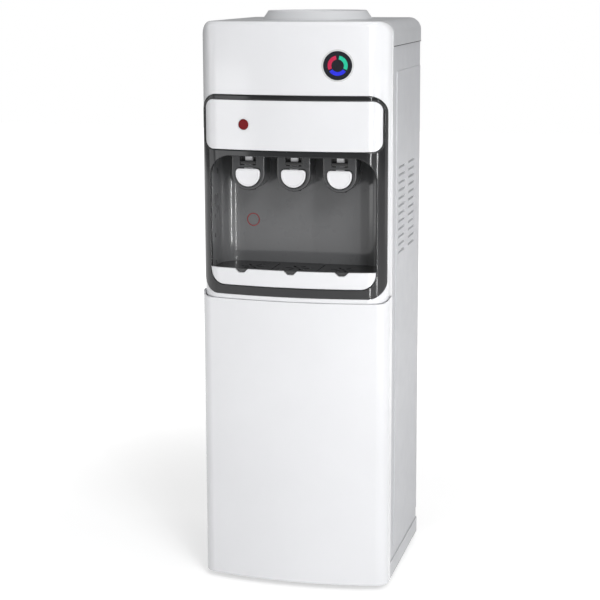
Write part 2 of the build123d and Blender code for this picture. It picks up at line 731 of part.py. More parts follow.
def upper_front_panel():
    """The moulded upper front: a bowed cap with returns, a window and button and dial bores."""
    panel = z_prism(bowed_plan(0, RETURN_Y), UPPER_BOTTOM, TOP_Z)
    outline = cap_outline(0, UPPER_BOTTOM, TOP_Z, SEAM_CORNER_RADIUS)
    panel &= y_prism(outline, FRONT_Y, RETURN_Y)
    panel -= hollow_front(PANEL_WALL, UPPER_BOTTOM - OVERRUN, TOP_Z, RETURN_Y + OVERRUN)
    panel -= y_prism(frame_outline(), FRONT_Y - OVERRUN, RETURN_Y + OVERRUN)
    panel -= rod_y(DIAL_X, DIAL_Z, DIAL_RADIUS + DIAL_BEZEL, FRONT_Y - OVERRUN, RETURN_Y)
    behind_skin = z_prism(bowed_plan(PANEL_WALL / 2, RETURN_Y), UPPER_BOTTOM, TOP_Z)
    for x, z in board_post_places():
        panel += rod_y(x, z, BOARD_POST_RADIUS, FRONT_Y, board_face_y()) & behind_skin
    return panel


def lower_front_panel():
    """The moulded lower front: a bowed skirt whose corners rise around the upper panel's."""
    plan = bowed_plan(0, RETURN_Y, LOWER_CORNER_RADIUS)
    wall = plan - bowed_plan(PANEL_WALL, RETURN_Y + OVERRUN, LOWER_CORNER_RADIUS)
    panel = z_prism(wall, FOOT_HEIGHT, SEAM_Z + SEAM_CORNER_RADIUS)
    radius = SEAM_CORNER_RADIUS + SEAM_SIDE_GAP
    above = front_rectangle(HALF_WIDTH + SEAM_SIDE_GAP, SEAM_Z, TOP_Z, 0, radius)
    panel -= y_prism(above, FRONT_Y - OVERRUN, REAR_Y)
    ledge = plan - bowed_plan(2 * PANEL_WALL, RETURN_Y + OVERRUN)
    panel += z_prism(ledge, SEAM_Z - PANEL_WALL, SEAM_Z)
    tongue = bowed_plan(PANEL_WALL, RETURN_Y) - bowed_plan(2 * PANEL_WALL, RETURN_Y + OVERRUN)
    return panel + z_prism(tongue, SEAM_Z - PANEL_WALL, SEAM_Z + PANEL_SEAM)


def frame_outline():
    """The front-view outline of the fascia frame."""
    radius = FRAME_CORNER_RADIUS
    return front_rectangle(FRAME_HALF_WIDTH, FRAME_BOTTOM, FRAME_TOP, radius, radius)


def fascia_frame():
    """The graphite frame around the control strip and the dispensing niche."""
    outline = frame_outline() - strip_outline(0)
    outline -= niche_outline(0)
    frame = front_patch(outline, FRAME_PROUD, FRAME_DEPTH)
    window = y_prism(niche_outline(-SEAT_GAP), FRONT_Y - OVERRUN, RETURN_Y).bounding_box()
    inner = [edge for edge in front_edges(frame) if window.is_inside(edge.bounding_box())]
    frame = fillet(inner, NICHE_EDGE_ROUND)
    outer = [edge for edge in front_edges(frame) if not window.is_inside(edge.bounding_box())]
    return fillet(outer, FRAME_EDGE_ROUND)


def strip_outline(inset):
    """The front-view outline of the control strip."""
    radius = STRIP_CORNER_RADIUS - inset
    half = STRIP_HALF_WIDTH - inset
    return front_rectangle(half, STRIP_BOTTOM + inset, STRIP_TOP - inset, radius, radius)


def niche_outline(inset):
    """The front-view outline of the niche opening, drip tray front included."""
    return front_rectangle(
        NICHE_HALF_WIDTH - inset,
        TRAY_BOTTOM + inset,
        NICHE_TOP - inset,
        NICHE_TOP_RADIUS - inset,
        TRAY_CORNER_RADIUS - inset,
    )


def control_strip():
    """The white strip above the niche, bored for the lock button's bezel."""
    strip = front_patch(strip_outline(0), STRIP_PROUD, STRIP_WALL)
    strip = fillet(front_edges(strip), STRIP_EDGE_ROUND)
    radius = BUTTON_RADIUS + BUTTON_BEZEL
    return strip - rod_y(BUTTON_X, BUTTON_Z, radius, FRONT_Y - OVERRUN, RETURN_Y)


def liner_plan(inset, front):
    """The plan of the niche: open to the front, with large rounded corners at the back."""
    plan = plan_rectangle(NICHE_HALF_WIDTH - inset, front, LINER_BACK_Y - inset)
    return fillet(plan.vertices().group_by(Axis.Y)[-1], LINER_CORNER_RADIUS - inset)


def niche_liner():
    """The moulded niche: floor, round-cornered back, ceiling, and a flange behind the frame."""
    low = TRAY_BOTTOM - LINER_WALL
    shell = z_prism(liner_plan(-LINER_WALL, FRONT_Y), low, LINER_CEILING + LINER_WALL)
    shell -= z_prism(liner_plan(0, FRONT_Y - OVERRUN), TRAY_BOTTOM, LINER_CEILING)
    frame_back = FRAME_DEPTH - FRAME_PROUD
    shell &= z_prism(bowed_plan(frame_back, LINER_BACK_Y + LINER_WALL), 0, TOP_Z)
    flange = front_rectangle(
        NICHE_HALF_WIDTH + LINER_FLANGE,
        TRAY_BOTTOM - LINER_FLANGE,
        NICHE_TOP + LINER_FLANGE,
        LINER_FLANGE,
        LINER_FLANGE,
    )
    shell += front_patch(flange - niche_outline(0), -frame_back, LINER_WALL)
    for x in TAP_XS.values():
        radius = BARB_RADIUS + BARB_CLEARANCE
        shell -= post(x, SPOUT_Y, radius, LINER_CEILING - OVERRUN, LINER_CEILING + OVERRUN)
    return shell


def notch_outlines(clearance):
    """Front-view outlines of the three soft finger notches in the drip tray's lip."""
    outlines = []
    for number in (-1, 0, 1):
        x = number * NOTCH_PITCH
        top = NOTCH_HALF_WIDTH - clearance
        foot = NOTCH_FLOOR_HALF_WIDTH - clearance
        floor = TRAY_LIP - NOTCH_DEPTH + clearance
        shape = make_face(Polyline(
            (x - top, TRAY_LIP),
            (x - foot, floor),
            (x + foot, floor),
            (x + top, TRAY_LIP),
            close=True,
        ))
        shape = fillet(shape.vertices().group_by(Axis.Y)[0], NOTCH_ROUND)
        outlines.append(Plane.XZ * shape)
    return outlines


def tray_section(inset, top):
    """The drip tray's rounded section below a height, seen from the front."""
    limit = front_rectangle(NICHE_HALF_WIDTH, TRAY_BOTTOM, top, 0, 0)
    return niche_outline(TRAY_GAP + inset) & limit


def tray_plan(inset):
    """The drip tray's plan behind its bowed front wall."""
    front = bowed_plan(TRAY_FRONT_WALL - OVERRUN / 2 + inset, 0)
    return liner_plan(TRAY_GAP + inset, FRONT_Y) & front


def drip_tray():
    """The white drip tray: a bowed front wall with three notches and an open basin behind."""
    basin = z_prism(tray_plan(0), TRAY_BOTTOM, TRAY_BODY_TOP)
    basin &= y_prism(tray_section(0, TRAY_BODY_TOP), FRONT_Y, 0)
    hollow = z_prism(tray_plan(TRAY_WALL), TRAY_BOTTOM, TRAY_LIP)
    hollow &= y_prism(tray_section(TRAY_WALL, TRAY_LIP), FRONT_Y, 0)
    front = front_patch(tray_section(0, TRAY_LIP), TRAY_PROUD, TRAY_PROUD + TRAY_FRONT_WALL)
    for outline in notch_outlines(0):
        front -= y_prism(outline, FRONT_Y - OVERRUN, RETURN_Y)
    return front + (basin - hollow)


def grille_plan():
    """The grille's plan: the basin's outline behind the tray's front wall."""
    front = bowed_plan(TRAY_FRONT_WALL + GRILLE_GAP, 0)
    return liner_plan(TRAY_GAP + GRILLE_GAP, FRONT_Y) & front


def drip_grille():
    """The black drip grille: a plate with three slotted rosettes and two grooves."""
    low = TRAY_BODY_TOP + SEAT_GAP
    high = low + GRILLE_THICKNESS
    plate = z_prism(grille_plan(), low, high)
    cuts = []
    for x in TAP_XS.values():
        cuts.append(post(x, SPOUT_Y, GRILLE_HOLE_RADIUS, low - OVERRUN, high + OVERRUN))
        for turn in range(GRILLE_SLOT_COUNT):
            slot = Pos(GRILLE_SLOT_RADIUS) * SlotOverall(GRILLE_SLOT_LENGTH, GRILLE_SLOT_WIDTH)
            place = Pos(x, SPOUT_Y) * Rot(0, 0, turn * 360 / GRILLE_SLOT_COUNT)
            cuts.append(z_prism(place * slot, low - OVERRUN, high + OVERRUN))
    for side in (-1, 1):
        x = side * TAP_PITCH / 2
        cuts.append(block(
            x - GRILLE_GROOVE_WIDTH / 2,
            x + GRILLE_GROOVE_WIDTH / 2,
            APEX_Y + TRAY_FRONT_WALL + GRILLE_GROOVE_INSET,
            LINER_BACK_Y - GRILLE_GROOVE_INSET,
            high - GRILLE_GROOVE_DEPTH,
            high + OVERRUN,
        ))
    plate -= cuts
    skin = bowed_plan(TONGUE_SETBACK, RETURN_Y)
    skin -= bowed_plan(TRAY_FRONT_WALL + 2 * GRILLE_GAP, RETURN_Y + OVERRUN)
    for outline in notch_outlines(2 * GRILLE_GAP):
        plate += z_prism(skin, TRAY_BODY_TOP, TRAY_LIP) & y_prism(outline, FRONT_Y, RETURN_Y)
    return plate


def tap_outline(x):
    """The front-view outline of a tap housing: straight sides and a round bottom."""
    height = LINER_CEILING - TAP_CENTRE_Z
    sides = Pos(x, TAP_CENTRE_Z + height / 2) * Rectangle(2 * TAP_HALF_WIDTH, height)
    return Plane.XZ * (sides + Pos(x, TAP_CENTRE_Z) * Circle(TAP_HALF_WIDTH))


def paddle_outline(x, inset):
    """The front-view outline of a paddle: a flat top with round corners and a round bottom."""
    half = PADDLE_HALF_WIDTH - inset
    top = PADDLE_TOP - inset
    shape = Pos(x, PADDLE_CENTRE_Z) * Circle(half)
    shape += Pos(x, PADDLE_CENTRE_Z + half / 2) * Rectangle(2 * half, half)
    shape &= Pos(x, top - half) * Rectangle(3 * half, 2 * half)
    return Plane.XZ * fillet(shape.vertices().group_by(Axis.Y)[-1], PADDLE_TOP_RADIUS - inset)


def pocket_outline(x):
    """The front-view outline of the window above a paddle, narrower at its foot."""
    return make_face(Plane.XZ * Polyline(
        (x - POCKET_BOTTOM_HALF_WIDTH, POCKET_BOTTOM),
        (x + POCKET_BOTTOM_HALF_WIDTH, POCKET_BOTTOM),
        (x + POCKET_TOP_HALF_WIDTH, LINER_CEILING),
        (x - POCKET_TOP_HALF_WIDTH, LINER_CEILING),
        close=True,
    ))


def tap_housing(x):
    """A tap housing with its paddle recess, lug window, pin holes, spout bore and hose barb."""
    back = TAP_FRONT_Y + TAP_DEPTH
    body = y_prism(tap_outline(x), TAP_FRONT_Y, back)
    front_edges = body.edges().group_by(Axis.Y)[0]
    under = front_edges.filter_by(lambda edge: edge.center().Z < LINER_CEILING - SEAT_GAP)
    body = fillet(under, TAP_EDGE_ROUND)
    recess = y_prism(paddle_outline(x, -PADDLE_GAP), TAP_FRONT_Y - OVERRUN, TAP_FRONT_Y + TAP_RECESS_DEPTH)
    body -= recess
    body -= y_prism(pocket_outline(x), TAP_FRONT_Y - OVERRUN, TAP_FRONT_Y + TAP_RECESS_DEPTH)
    half = PADDLE_ARM_HALF_WIDTH + ARM_GAP
    body -= block(
        x - half,
        x + half,
        TAP_FRONT_Y + BRIDGE_THICKNESS,
        TAP_FRONT_Y + TAP_RECESS_DEPTH,
        PADDLE_CENTRE_Z,
        PADDLE_TOP + ARM_PASSAGE_RISE,
    )
    body -= rod_x(PIN_Y, PIN_Z, PIN_RADIUS, x - PIN_HALF_LENGTH, x + PIN_HALF_LENGTH)
    spout_low = spout_bottom()
    body -= post(x, SPOUT_Y, SPOUT_RADIUS + SPOUT_FIT, spout_low, spout_low + SPOUT_LENGTH)
    body += post(x, SPOUT_Y, BARB_RADIUS, LINER_CEILING - SPOUT_FIT, barb_top())
    return body


def spout_bottom():
    """The height of the spouts' open ends, just under the housings."""
    return TAP_CENTRE_Z - TAP_HALF_WIDTH - SPOUT_DROP


def barb_top():
    """The height of the hose barbs above the niche ceiling."""
    return LINER_CEILING + LINER_WALL + BARB_RISE


def tap_spout(x):
    """A spout tube pressed up into its housing."""
    low = spout_bottom()
    bore_top = low + SPOUT_LENGTH - SPOUT_BORE_RADIUS
    spout = post(x, SPOUT_Y, SPOUT_RADIUS, low, low + SPOUT_LENGTH)
    return spout - post(x, SPOUT_Y, SPOUT_BORE_RADIUS, low - OVERRUN, bore_top)


def tap_paddle(x):
    """A white paddle: a round-bottomed plate, a hinge boss and the lug seen in the window."""
    face = TAP_FRONT_Y - PADDLE_PROUD
    arm_front = face + PADDLE_PLATE
    paddle = y_prism(paddle_outline(x, 0), face, arm_front)
    paddle = fillet(paddle.edges().group_by(Axis.Y)[0], PADDLE_EDGE_ROUND)
    paddle -= y_prism(paddle_outline(x, PADDLE_RIM), face, face + PADDLE_DISH)
    arm_back = PIN_Y + PIN_BOSS_RADIUS
    half = PADDLE_ARM_HALF_WIDTH
    step = PADDLE_TOP - PADDLE_ARM_STEP
    paddle += block(x - half, x + half, arm_front, arm_back, PIN_Z - PADDLE_ARM_DROP, step)
    paddle += block(x - half, x + half, PIN_Y - PIN_BOSS_RADIUS, arm_back, step, PIN_Z)
    paddle += rod_x(PIN_Y, PIN_Z, PIN_BOSS_RADIUS, x - half, x + half)
    lug = LUG_HALF_WIDTH
    lug_front = face + LUG_SETBACK
    lug_block = block(x - lug, x + lug, lug_front, lug_front + LUG_DEPTH, PIN_Z, PIN_Z + LUG_RISE)
    paddle += fillet(lug_block.edges().filter_by(Axis.Y).group_by(Axis.Z)[-1], LUG_ROUND)
    return paddle - rod_x(PIN_Y, PIN_Z, PIN_RADIUS + PIN_RUNNING_FIT, x - 2 * half, x + 2 * half)


def tap_pins():
    """The three hinge pins of the paddles."""
    pins = []
    for x in TAP_XS.values():
        pins.append(rod_x(PIN_Y, PIN_Z, PIN_RADIUS, x - PIN_HALF_LENGTH, x + PIN_HALF_LENGTH))
    return pins


def dial_bezel():
    """The thin ring around the status dial."""
    ring = front_disc(DIAL_X, DIAL_Z, DIAL_RADIUS + DIAL_BEZEL)
    ring -= front_disc(DIAL_X, DIAL_Z, DIAL_RADIUS)
    return front_patch(ring, DIAL_BEZEL_PROUD, DIAL_BEZEL_PROUD + DIAL_LENS_DEPTH)


def light_outline(first, last):
    """The front-view outline of one ring-shaped light of the dial."""
    inner = Pos(DIAL_X, DIAL_Z) * CenterArc((0, 0), LIGHT_INNER_RADIUS, first, last - first)
    outer = Pos(DIAL_X, DIAL_Z) * CenterArc((0, 0), LIGHT_OUTER_RADIUS, first, last - first)
    sides = Line(inner @ 0, outer @ 0) + Line(inner @ 1, outer @ 1)
    return Plane.XZ * make_face(inner + outer + sides)


def dial_light(colour):
    """One light of the dial, standing a little proud of the lens."""
    first, last = LIGHT_ANGLES[colour]
    return front_patch(light_outline(first, last), LIGHT_PROUD, LIGHT_PROUD + LIGHT_DEPTH)


def dial_lens():
    """The dark disc of the dial, pocketed for its three lights."""
    lens = front_patch(front_disc(DIAL_X, DIAL_Z, DIAL_RADIUS), DIAL_LENS_PROUD, DIAL_LENS_DEPTH)
    for colour in LIGHT_ANGLES:
        lens -= dial_light(colour)
    return lens


def front_y(x):
    """The depth of the bowed front at a place across the cabinet."""
    return APEX_Y + FRONT_BOW_RADIUS - math.sqrt(FRONT_BOW_RADIUS ** 2 - x ** 2)


def board_face_y():
    """The depth of the display board's front face."""
    return front_y(DIAL_X) + BOARD_STANDOFF


def board_post_places():
    """The places of the posts that carry the display board."""
    x = BOARD_HALF_WIDTH - BOARD_POST_INSET
    z = BOARD_HALF_HEIGHT - BOARD_POST_INSET
    return [(DIAL_X + sx * x, DIAL_Z + sz * z) for sx in (-1, 1) for sz in (-1, 1)]


def display_board():
    """The circuit board behind the dial."""
    face = board_face_y()
    return block(
        DIAL_X - BOARD_HALF_WIDTH,
        DIAL_X + BOARD_HALF_WIDTH,
        face,
        face + BOARD_THICKNESS,
        DIAL_Z - BOARD_HALF_HEIGHT,
        DIAL_Z + BOARD_HALF_HEIGHT,
    )


def button_sleeve_depth():
    """How far the button's sleeve reaches behind the front surface."""
    return BUTTON_LENGTH - BUTTON_PROUD + BUTTON_TRAVEL + BUTTON_END_GAP


def hot_lock_button():
    """The red lock button, sliding in its sleeve."""
    button = front_patch(front_disc(BUTTON_X, BUTTON_Z, BUTTON_RADIUS), BUTTON_PROUD, BUTTON_LENGTH)
    return fillet(front_edges(button), BUTTON_EDGE_ROUND)


def button_bezel():
    """The white bezel of the lock button with its guide sleeve."""
    ring = front_disc(BUTTON_X, BUTTON_Z, BUTTON_RADIUS + BUTTON_BEZEL)
    ring -= front_disc(BUTTON_X, BUTTON_Z, BUTTON_RADIUS + BUTTON_GAP)
    sleeve = y_prism(ring, FRONT_Y, front_y(BUTTON_X) + button_sleeve_depth())
    return sleeve & z_prism(bowed_plan(-BUTTON_BEZEL_PROUD, RETURN_Y), FOOT_HEIGHT, TOP_Z)


def lock_switch():
    """The small switch closed by the lock button, on the end of the sleeve."""
    face = front_y(BUTTON_X) + button_sleeve_depth()
    half = LOCK_SWITCH_WIDTH / 2
    high = LOCK_SWITCH_HEIGHT / 2
    back = face + LOCK_SWITCH_DEPTH
    return block(BUTTON_X - half, BUTTON_X + half, face, back, BUTTON_Z - high, BUTTON_Z + high)


def top_cover():
    """The moulded top: rounded shoulders, a round hole for the bottle holder and a front tongue."""
    cover = y_prism(cap_outline(0, COVER_BOTTOM, TOP_Z), RETURN_Y, REAR_SHEET_Y)
    cover = fillet(cover.edges().filter_by(Axis.Z).group_by(Axis.Y)[-1], COVER_REAR_RADIUS)
    hollow = cap_outline(COVER_WALL, COVER_BOTTOM - OVERRUN, TOP_Z)
    cover -= y_prism(hollow, RETURN_Y - OVERRUN, REAR_SHEET_Y - COVER_WALL)
    rim = cap_outline(PANEL_WALL, COVER_BOTTOM, TOP_Z)
    collar = cap_outline(0, COVER_BOTTOM, TOP_Z)
    inside = cap_outline(PANEL_WALL + COVER_WALL, COVER_BOTTOM - OVERRUN, TOP_Z)
    tongue_back = RETURN_Y + COVER_TONGUE
    behind_panel = z_prism(bowed_plan(PANEL_WALL, RETURN_Y), COVER_BOTTOM, TOP_Z)
    cover += y_prism(rim, RETURN_Y - COVER_TONGUE, RETURN_Y) & behind_panel
    cover += y_prism(collar, RETURN_Y, tongue_back)
    cover -= y_prism(inside, RETURN_Y - 2 * COVER_TONGUE, tongue_back)
    return cover - post(0, SEAT_Y, holder_hole_radius(), COVER_BOTTOM, TOP_Z + OVERRUN)


def holder_hole_radius():
    """The radius of the hole in the top cover."""
    return COLLAR_THROAT_RADIUS + COLLAR_WALL + HOLDER_GAP


def bottle_collar():
    """The raised collar: a hollow ring with a rounded rim and a skirt through the cover."""
    throat = COLLAR_THROAT_RADIUS
    rim_inner = COLLAR_TOP_RADIUS - COLLAR_RIM_WIDTH
    outline = Polyline(
        (COLLAR_BASE_RADIUS, TOP_Z),
        (COLLAR_TOP_RADIUS, TOP_Z + COLLAR_RISE),
        (rim_inner, TOP_Z + COLLAR_RISE),
        (throat, TOP_Z),
        (throat, TOP_Z - COLLAR_SKIRT),
        (throat + COLLAR_WALL, TOP_Z - COLLAR_SKIRT),
        (throat + COLLAR_WALL, TOP_Z),
        (rim_inner + COLLAR_RIM_WIDTH / 2, TOP_Z + COLLAR_RISE - COLLAR_WALL),
        (COLLAR_BASE_RADIUS - COLLAR_WALL, TOP_Z),
        close=True,
    )
    section = make_face(outline)
    rim = section.vertices().group_by(Axis.Y)[-1]
    section = fillet(rim, COLLAR_RIM_ROUND)
    return Pos(0, SEAT_Y) * revolve(Plane.XZ * section, Axis.Z)


def bottle_seat():
    """The funnel and cup that hold the bottle's neck, with a spigot into the cold tank."""
    top = TOP_Z - COLLAR_SKIRT
    throat = COLLAR_THROAT_RADIUS
    cup_top = top - FUNNEL_DEPTH
    cup_floor = cup_top - CUP_DEPTH
    return turned(0, SEAT_Y, [
        (throat, top),
        (throat + COLLAR_WALL, top),
        (throat + COLLAR_WALL, top - COLLAR_WALL),
        (CUP_RADIUS + CUP_WALL, cup_top - CUP_WALL),
        (CUP_RADIUS + CUP_WALL, SEAT_FLOOR_Z),
        (SPIGOT_RADIUS, SEAT_FLOOR_Z),
        (SPIGOT_RADIUS, SEAT_FLOOR_Z - SPIGOT_LENGTH),
        (SPIGOT_RADIUS - CUP_WALL, SEAT_FLOOR_Z - SPIGOT_LENGTH),
        (SPIGOT_RADIUS - CUP_WALL, cup_floor),
        (CUP_RADIUS, cup_floor),
        (CUP_RADIUS, cup_top),
    ])


def bottle_probe():
    """The hollow probe that opens the bottle's cap, with windows near its foot."""
    floor = TOP_Z - COLLAR_SKIRT - FUNNEL_DEPTH - CUP_DEPTH
    bore = PROBE_RADIUS - CUP_WALL
    probe = turned(0, SEAT_Y, [
        (bore, floor),
        (PROBE_FLANGE_RADIUS, floor),
        (PROBE_FLANGE_RADIUS, floor + PROBE_FLANGE),
        (PROBE_RADIUS, floor + PROBE_FLANGE),
        (PROBE_RADIUS, floor + PROBE_HEIGHT - PROBE_RADIUS),
        (PROBE_TIP_RADIUS, floor + PROBE_HEIGHT),
        (0, floor + PROBE_HEIGHT),
        (0, floor + PROBE_HEIGHT - PROBE_RADIUS),
        (bore, floor + PROBE_HEIGHT - PROBE_RADIUS),
    ])
    window_top = floor + PROBE_HEIGHT / 2
    for angle in (0, 90):
        window = Rot(0, 0, angle) * Box(PROBE_TIP_RADIUS, 2 * PROBE_FLANGE_RADIUS, PROBE_RADIUS)
        probe -= Pos(0, SEAT_Y, window_top) * window
    return probe


def tank_shelf():
    """The folded shelf that carries the cold tank, with holes for the hoses and pipes."""
    front = SEAT_Y - FOAM_RADIUS
    back = REAR_FACE_Y - SHEET
    half = SHEET_FACE - SHEET
    shelf = block(-half, half, front, back, SHELF_Z, SHELF_TOP)
    for side in (-1, 1):
        inner = side * (half - SHEET)
        outer = side * half
        left = min(inner, outer)
        shelf += block(left, left + SHEET, front, back, SHELF_Z, SHELF_Z + SHELF_FLANGE)
    for x, y in ((HOT_RISER_X, HOT_RISER_Y), (SUCTION_PIPE_X, COMPRESSOR_Y)):
        shelf -= post(x, y, SHELF_PIPE_RADIUS, SHELF_Z - OVERRUN, SHELF_TOP + OVERRUN)
    return shelf


def cold_tank_shape():
    """The outer shape of the cold tank and its neck."""
    tank = post(0, SEAT_Y, COLD_TANK_RADIUS, COLD_TANK_BOTTOM, COLD_TANK_TOP)
    tank = fillet(tank.edges().filter_by(GeomType.CIRCLE), COLD_TANK_ROUND)
    neck_foot = COLD_TANK_TOP - COLD_TANK_ROUND
    return tank + post(0, SEAT_Y, COLD_NECK_RADIUS, neck_foot, COLD_TANK_TOP + COLD_NECK_HEIGHT)


def cold_tank():
    """The hollow cold tank with its open neck under the bottle seat."""
    inside = COLD_TANK_RADIUS - TANK_WALL
    low = COLD_TANK_BOTTOM + TANK_WALL
    hollow = post(0, SEAT_Y, inside, low, COLD_TANK_TOP - TANK_WALL)
    hollow = fillet(hollow.edges().filter_by(GeomType.CIRCLE), COLD_TANK_ROUND - TANK_WALL)
    neck_top = COLD_TANK_TOP + COLD_NECK_HEIGHT + OVERRUN
    neck_foot = COLD_TANK_TOP - COLD_TANK_ROUND
    hollow += post(0, SEAT_Y, SPIGOT_RADIUS + HOLDER_GAP, neck_foot, neck_top)
    return cold_tank_shape() - hollow


def evaporator_sleeve():
    """The evaporator wrapped around the cold tank."""
    low = COLD_TANK_BOTTOM + SLEEVE_BOTTOM_RISE
    high = low + SLEEVE_HEIGHT
    sleeve = post(0, SEAT_Y, COLD_TANK_RADIUS + SLEEVE_THICKNESS, low, high)
    return sleeve - post(0, SEAT_Y, COLD_TANK_RADIUS, low - OVERRUN, high + OVERRUN)


def cold_tank_insulation():
    """The foam jacket around the cold tank, standing on the shelf."""
    return foam_shape() - cold_tank_shape() - evaporator_sleeve()


def hot_tank():
    """The hollow hot tank under the shelf."""
    tank = post(HOT_TANK_X, HOT_TANK_Y, HOT_TANK_RADIUS, HOT_TANK_BOTTOM, HOT_TANK_TOP)
    tank = fillet(tank.edges().filter_by(GeomType.CIRCLE), HOT_TANK_ROUND)
    radius = HOT_TANK_RADIUS - TANK_WALL
    low = HOT_TANK_BOTTOM + TANK_WALL
    hollow = post(HOT_TANK_X, HOT_TANK_Y, radius, low, HOT_TANK_TOP - TANK_WALL)
    return tank - fillet(hollow.edges().filter_by(GeomType.CIRCLE), HOT_TANK_ROUND - TANK_WALL)


def hot_tank_heater():
    """The band heater around the hot tank."""
    low = HOT_TANK_BOTTOM + HEATER_RISE
    high = low + HEATER_HEIGHT
    band = post(HOT_TANK_X, HOT_TANK_Y, HOT_TANK_RADIUS + HEATER_THICKNESS, low, high)
    return band - post(HOT_TANK_X, HOT_TANK_Y, HOT_TANK_RADIUS, low - OVERRUN, high + OVERRUN)


def hot_tank_bracket():
    """The folded bracket that hangs the hot tank from the shelf."""
    left = HOT_TANK_X - BRACKET_HALF_WIDTH
    right = HOT_TANK_X + BRACKET_HALF_WIDTH
    front = HOT_TANK_Y - BRACKET_HALF_DEPTH
    back = HOT_TANK_Y + BRACKET_HALF_DEPTH
    hanger = block(left, right, front, back, HOT_TANK_TOP, SHELF_Z)
    return hanger - block(
        left + BRACKET_SHEET,
        right - BRACKET_SHEET,
        front - OVERRUN,
        back + OVERRUN,
        HOT_TANK_TOP + BRACKET_SHEET,
        SHELF_Z - BRACKET_SHEET,
    )


def cold_hose():
    """The hose from the cold tank to the cold tap."""
    route = [
        (COLD_PORT_X, SEAT_Y - HOSE_LEAD, HOSE_LEVEL),
        (COLD_PORT_X, SPOUT_Y, HOSE_LEVEL),
        (TAP_XS["cold"], SPOUT_Y, HOSE_LEVEL),
        (TAP_XS["cold"], SPOUT_Y, barb_top()),
    ]
    return tube(route, HOSE_RADIUS, HOSE_BEND) - foam_shape()


def room_hose():
    """The hose from the top of the cold tank to the middle tap."""
    level = HOSE_LEVEL + ROOM_PORT_RISE
    route = [(0, SEAT_Y - HOSE_LEAD, level), (0, SPOUT_Y, level), (0, SPOUT_Y, barb_top())]
    return tube(route, HOSE_RADIUS, HOSE_BEND) - foam_shape()


def foam_shape():
    """The outer shape of the foam jacket."""
    return post(0, SEAT_Y, FOAM_RADIUS, SHELF_TOP, COLD_TANK_TOP + FOAM_LID)


def hot_hose():
    """The hose from the hot tank, up past the foam, to the hot tap."""
    level = HOT_TANK_TOP - HOT_PORT_DROP
    route = [
        (HOT_TANK_X, HOT_RISER_Y, level),
        (HOT_RISER_X, HOT_RISER_Y, level),
        (HOT_RISER_X, HOT_RISER_Y, HOSE_LEVEL),
        (HOT_RISER_X, SPOUT_Y, HOSE_LEVEL),
        (TAP_XS["hot"], SPOUT_Y, HOSE_LEVEL),
        (TAP_XS["hot"], SPOUT_Y, barb_top()),
    ]
    inside = post(HOT_TANK_X, HOT_TANK_Y, HOT_TANK_RADIUS, HOT_TANK_BOTTOM, HOT_TANK_TOP)
    return tube(route, HOSE_RADIUS, HOSE_BEND) - inside


def compressor():
    """The compressor: a domed pot with a welded waist on its base plate."""
    top = COMPRESSOR_BOTTOM + COMPRESSOR_HEIGHT
    waist = COMPRESSOR_BOTTOM + COMPRESSOR_HEIGHT / 2
    pot = post(COMPRESSOR_X, COMPRESSOR_Y, COMPRESSOR_RADIUS, COMPRESSOR_BOTTOM, top)
    pot = fillet(pot.edges().filter_by(GeomType.CIRCLE), COMPRESSOR_DOME)
    pot += post(
        COMPRESSOR_X,
        COMPRESSOR_Y,
        COMPRESSOR_RADIUS + COMPRESSOR_SEAM,
        waist - COMPRESSOR_SEAM,
        waist + COMPRESSOR_SEAM,
    )
    plate = Pos(COMPRESSOR_X, COMPRESSOR_Y) * RectangleRounded(
        2 * COMPRESSOR_PLATE_HALF_WIDTH,
        2 * COMPRESSOR_PLATE_HALF_DEPTH,
        MOUNT_INSET,
    )
    return pot + z_prism(plate, MOUNT_TOP, COMPRESSOR_BOTTOM)


def compressor_mounts():
    """Four waisted rubber mounts on the base floor."""
    floor = FOOT_HEIGHT + PLINTH_FLOOR
    middle = floor + MOUNT_HEIGHT / 2
    neck = MOUNT_RADIUS - MOUNT_INSET / 4
    mounts = []
    for side in (-1, 1):
        for end in (-1, 1):
            x = COMPRESSOR_X + side * (COMPRESSOR_PLATE_HALF_WIDTH - MOUNT_INSET)
            y = COMPRESSOR_Y + end * (COMPRESSOR_PLATE_HALF_DEPTH - MOUNT_INSET)
            mounts.append(turned(x, y, [
                (0, floor),
                (MOUNT_RADIUS, floor),
                (neck, middle),
                (MOUNT_RADIUS, MOUNT_TOP),
                (0, MOUNT_TOP),
            ]))
    return mounts


def terminal_box():
    """The terminal cover on the side of the compressor."""
    low = COMPRESSOR_BOTTOM + TERMINAL_RISE
    right = COMPRESSOR_X
    left = COMPRESSOR_X - COMPRESSOR_RADIUS - TERMINAL_DEPTH
    front = COMPRESSOR_Y - TERMINAL_WIDTH / 2
    cover = block(left, right, front, front + TERMINAL_WIDTH, low, low + TERMINAL_HEIGHT)
    return cover - compressor()


def filter_drier():
    """The filter drier with its pipe from the foot of the condenser."""
    y = CONDENSER_Y
    body = post(DRIER_X, DRIER_Y, DRIER_RADIUS, DRIER_Z, DRIER_Z + DRIER_LENGTH)
    body = fillet(body.edges().filter_by(GeomType.CIRCLE), DRIER_RADIUS / 2)
    route = [
        (-CONDENSER_HALF_WIDTH, y, CONDENSER_BOTTOM),
        (DRIER_X, y, CONDENSER_BOTTOM),
        (DRIER_X, y, LIQUID_PIPE_Z),
        (DRIER_X, DRIER_Y, LIQUID_PIPE_Z),
        (DRIER_X, DRIER_Y, DRIER_Z + DRIER_LENGTH - DRIER_RADIUS),
    ]
    return body + tube(route, CONDENSER_TUBE_RADIUS, DRIER_BEND)


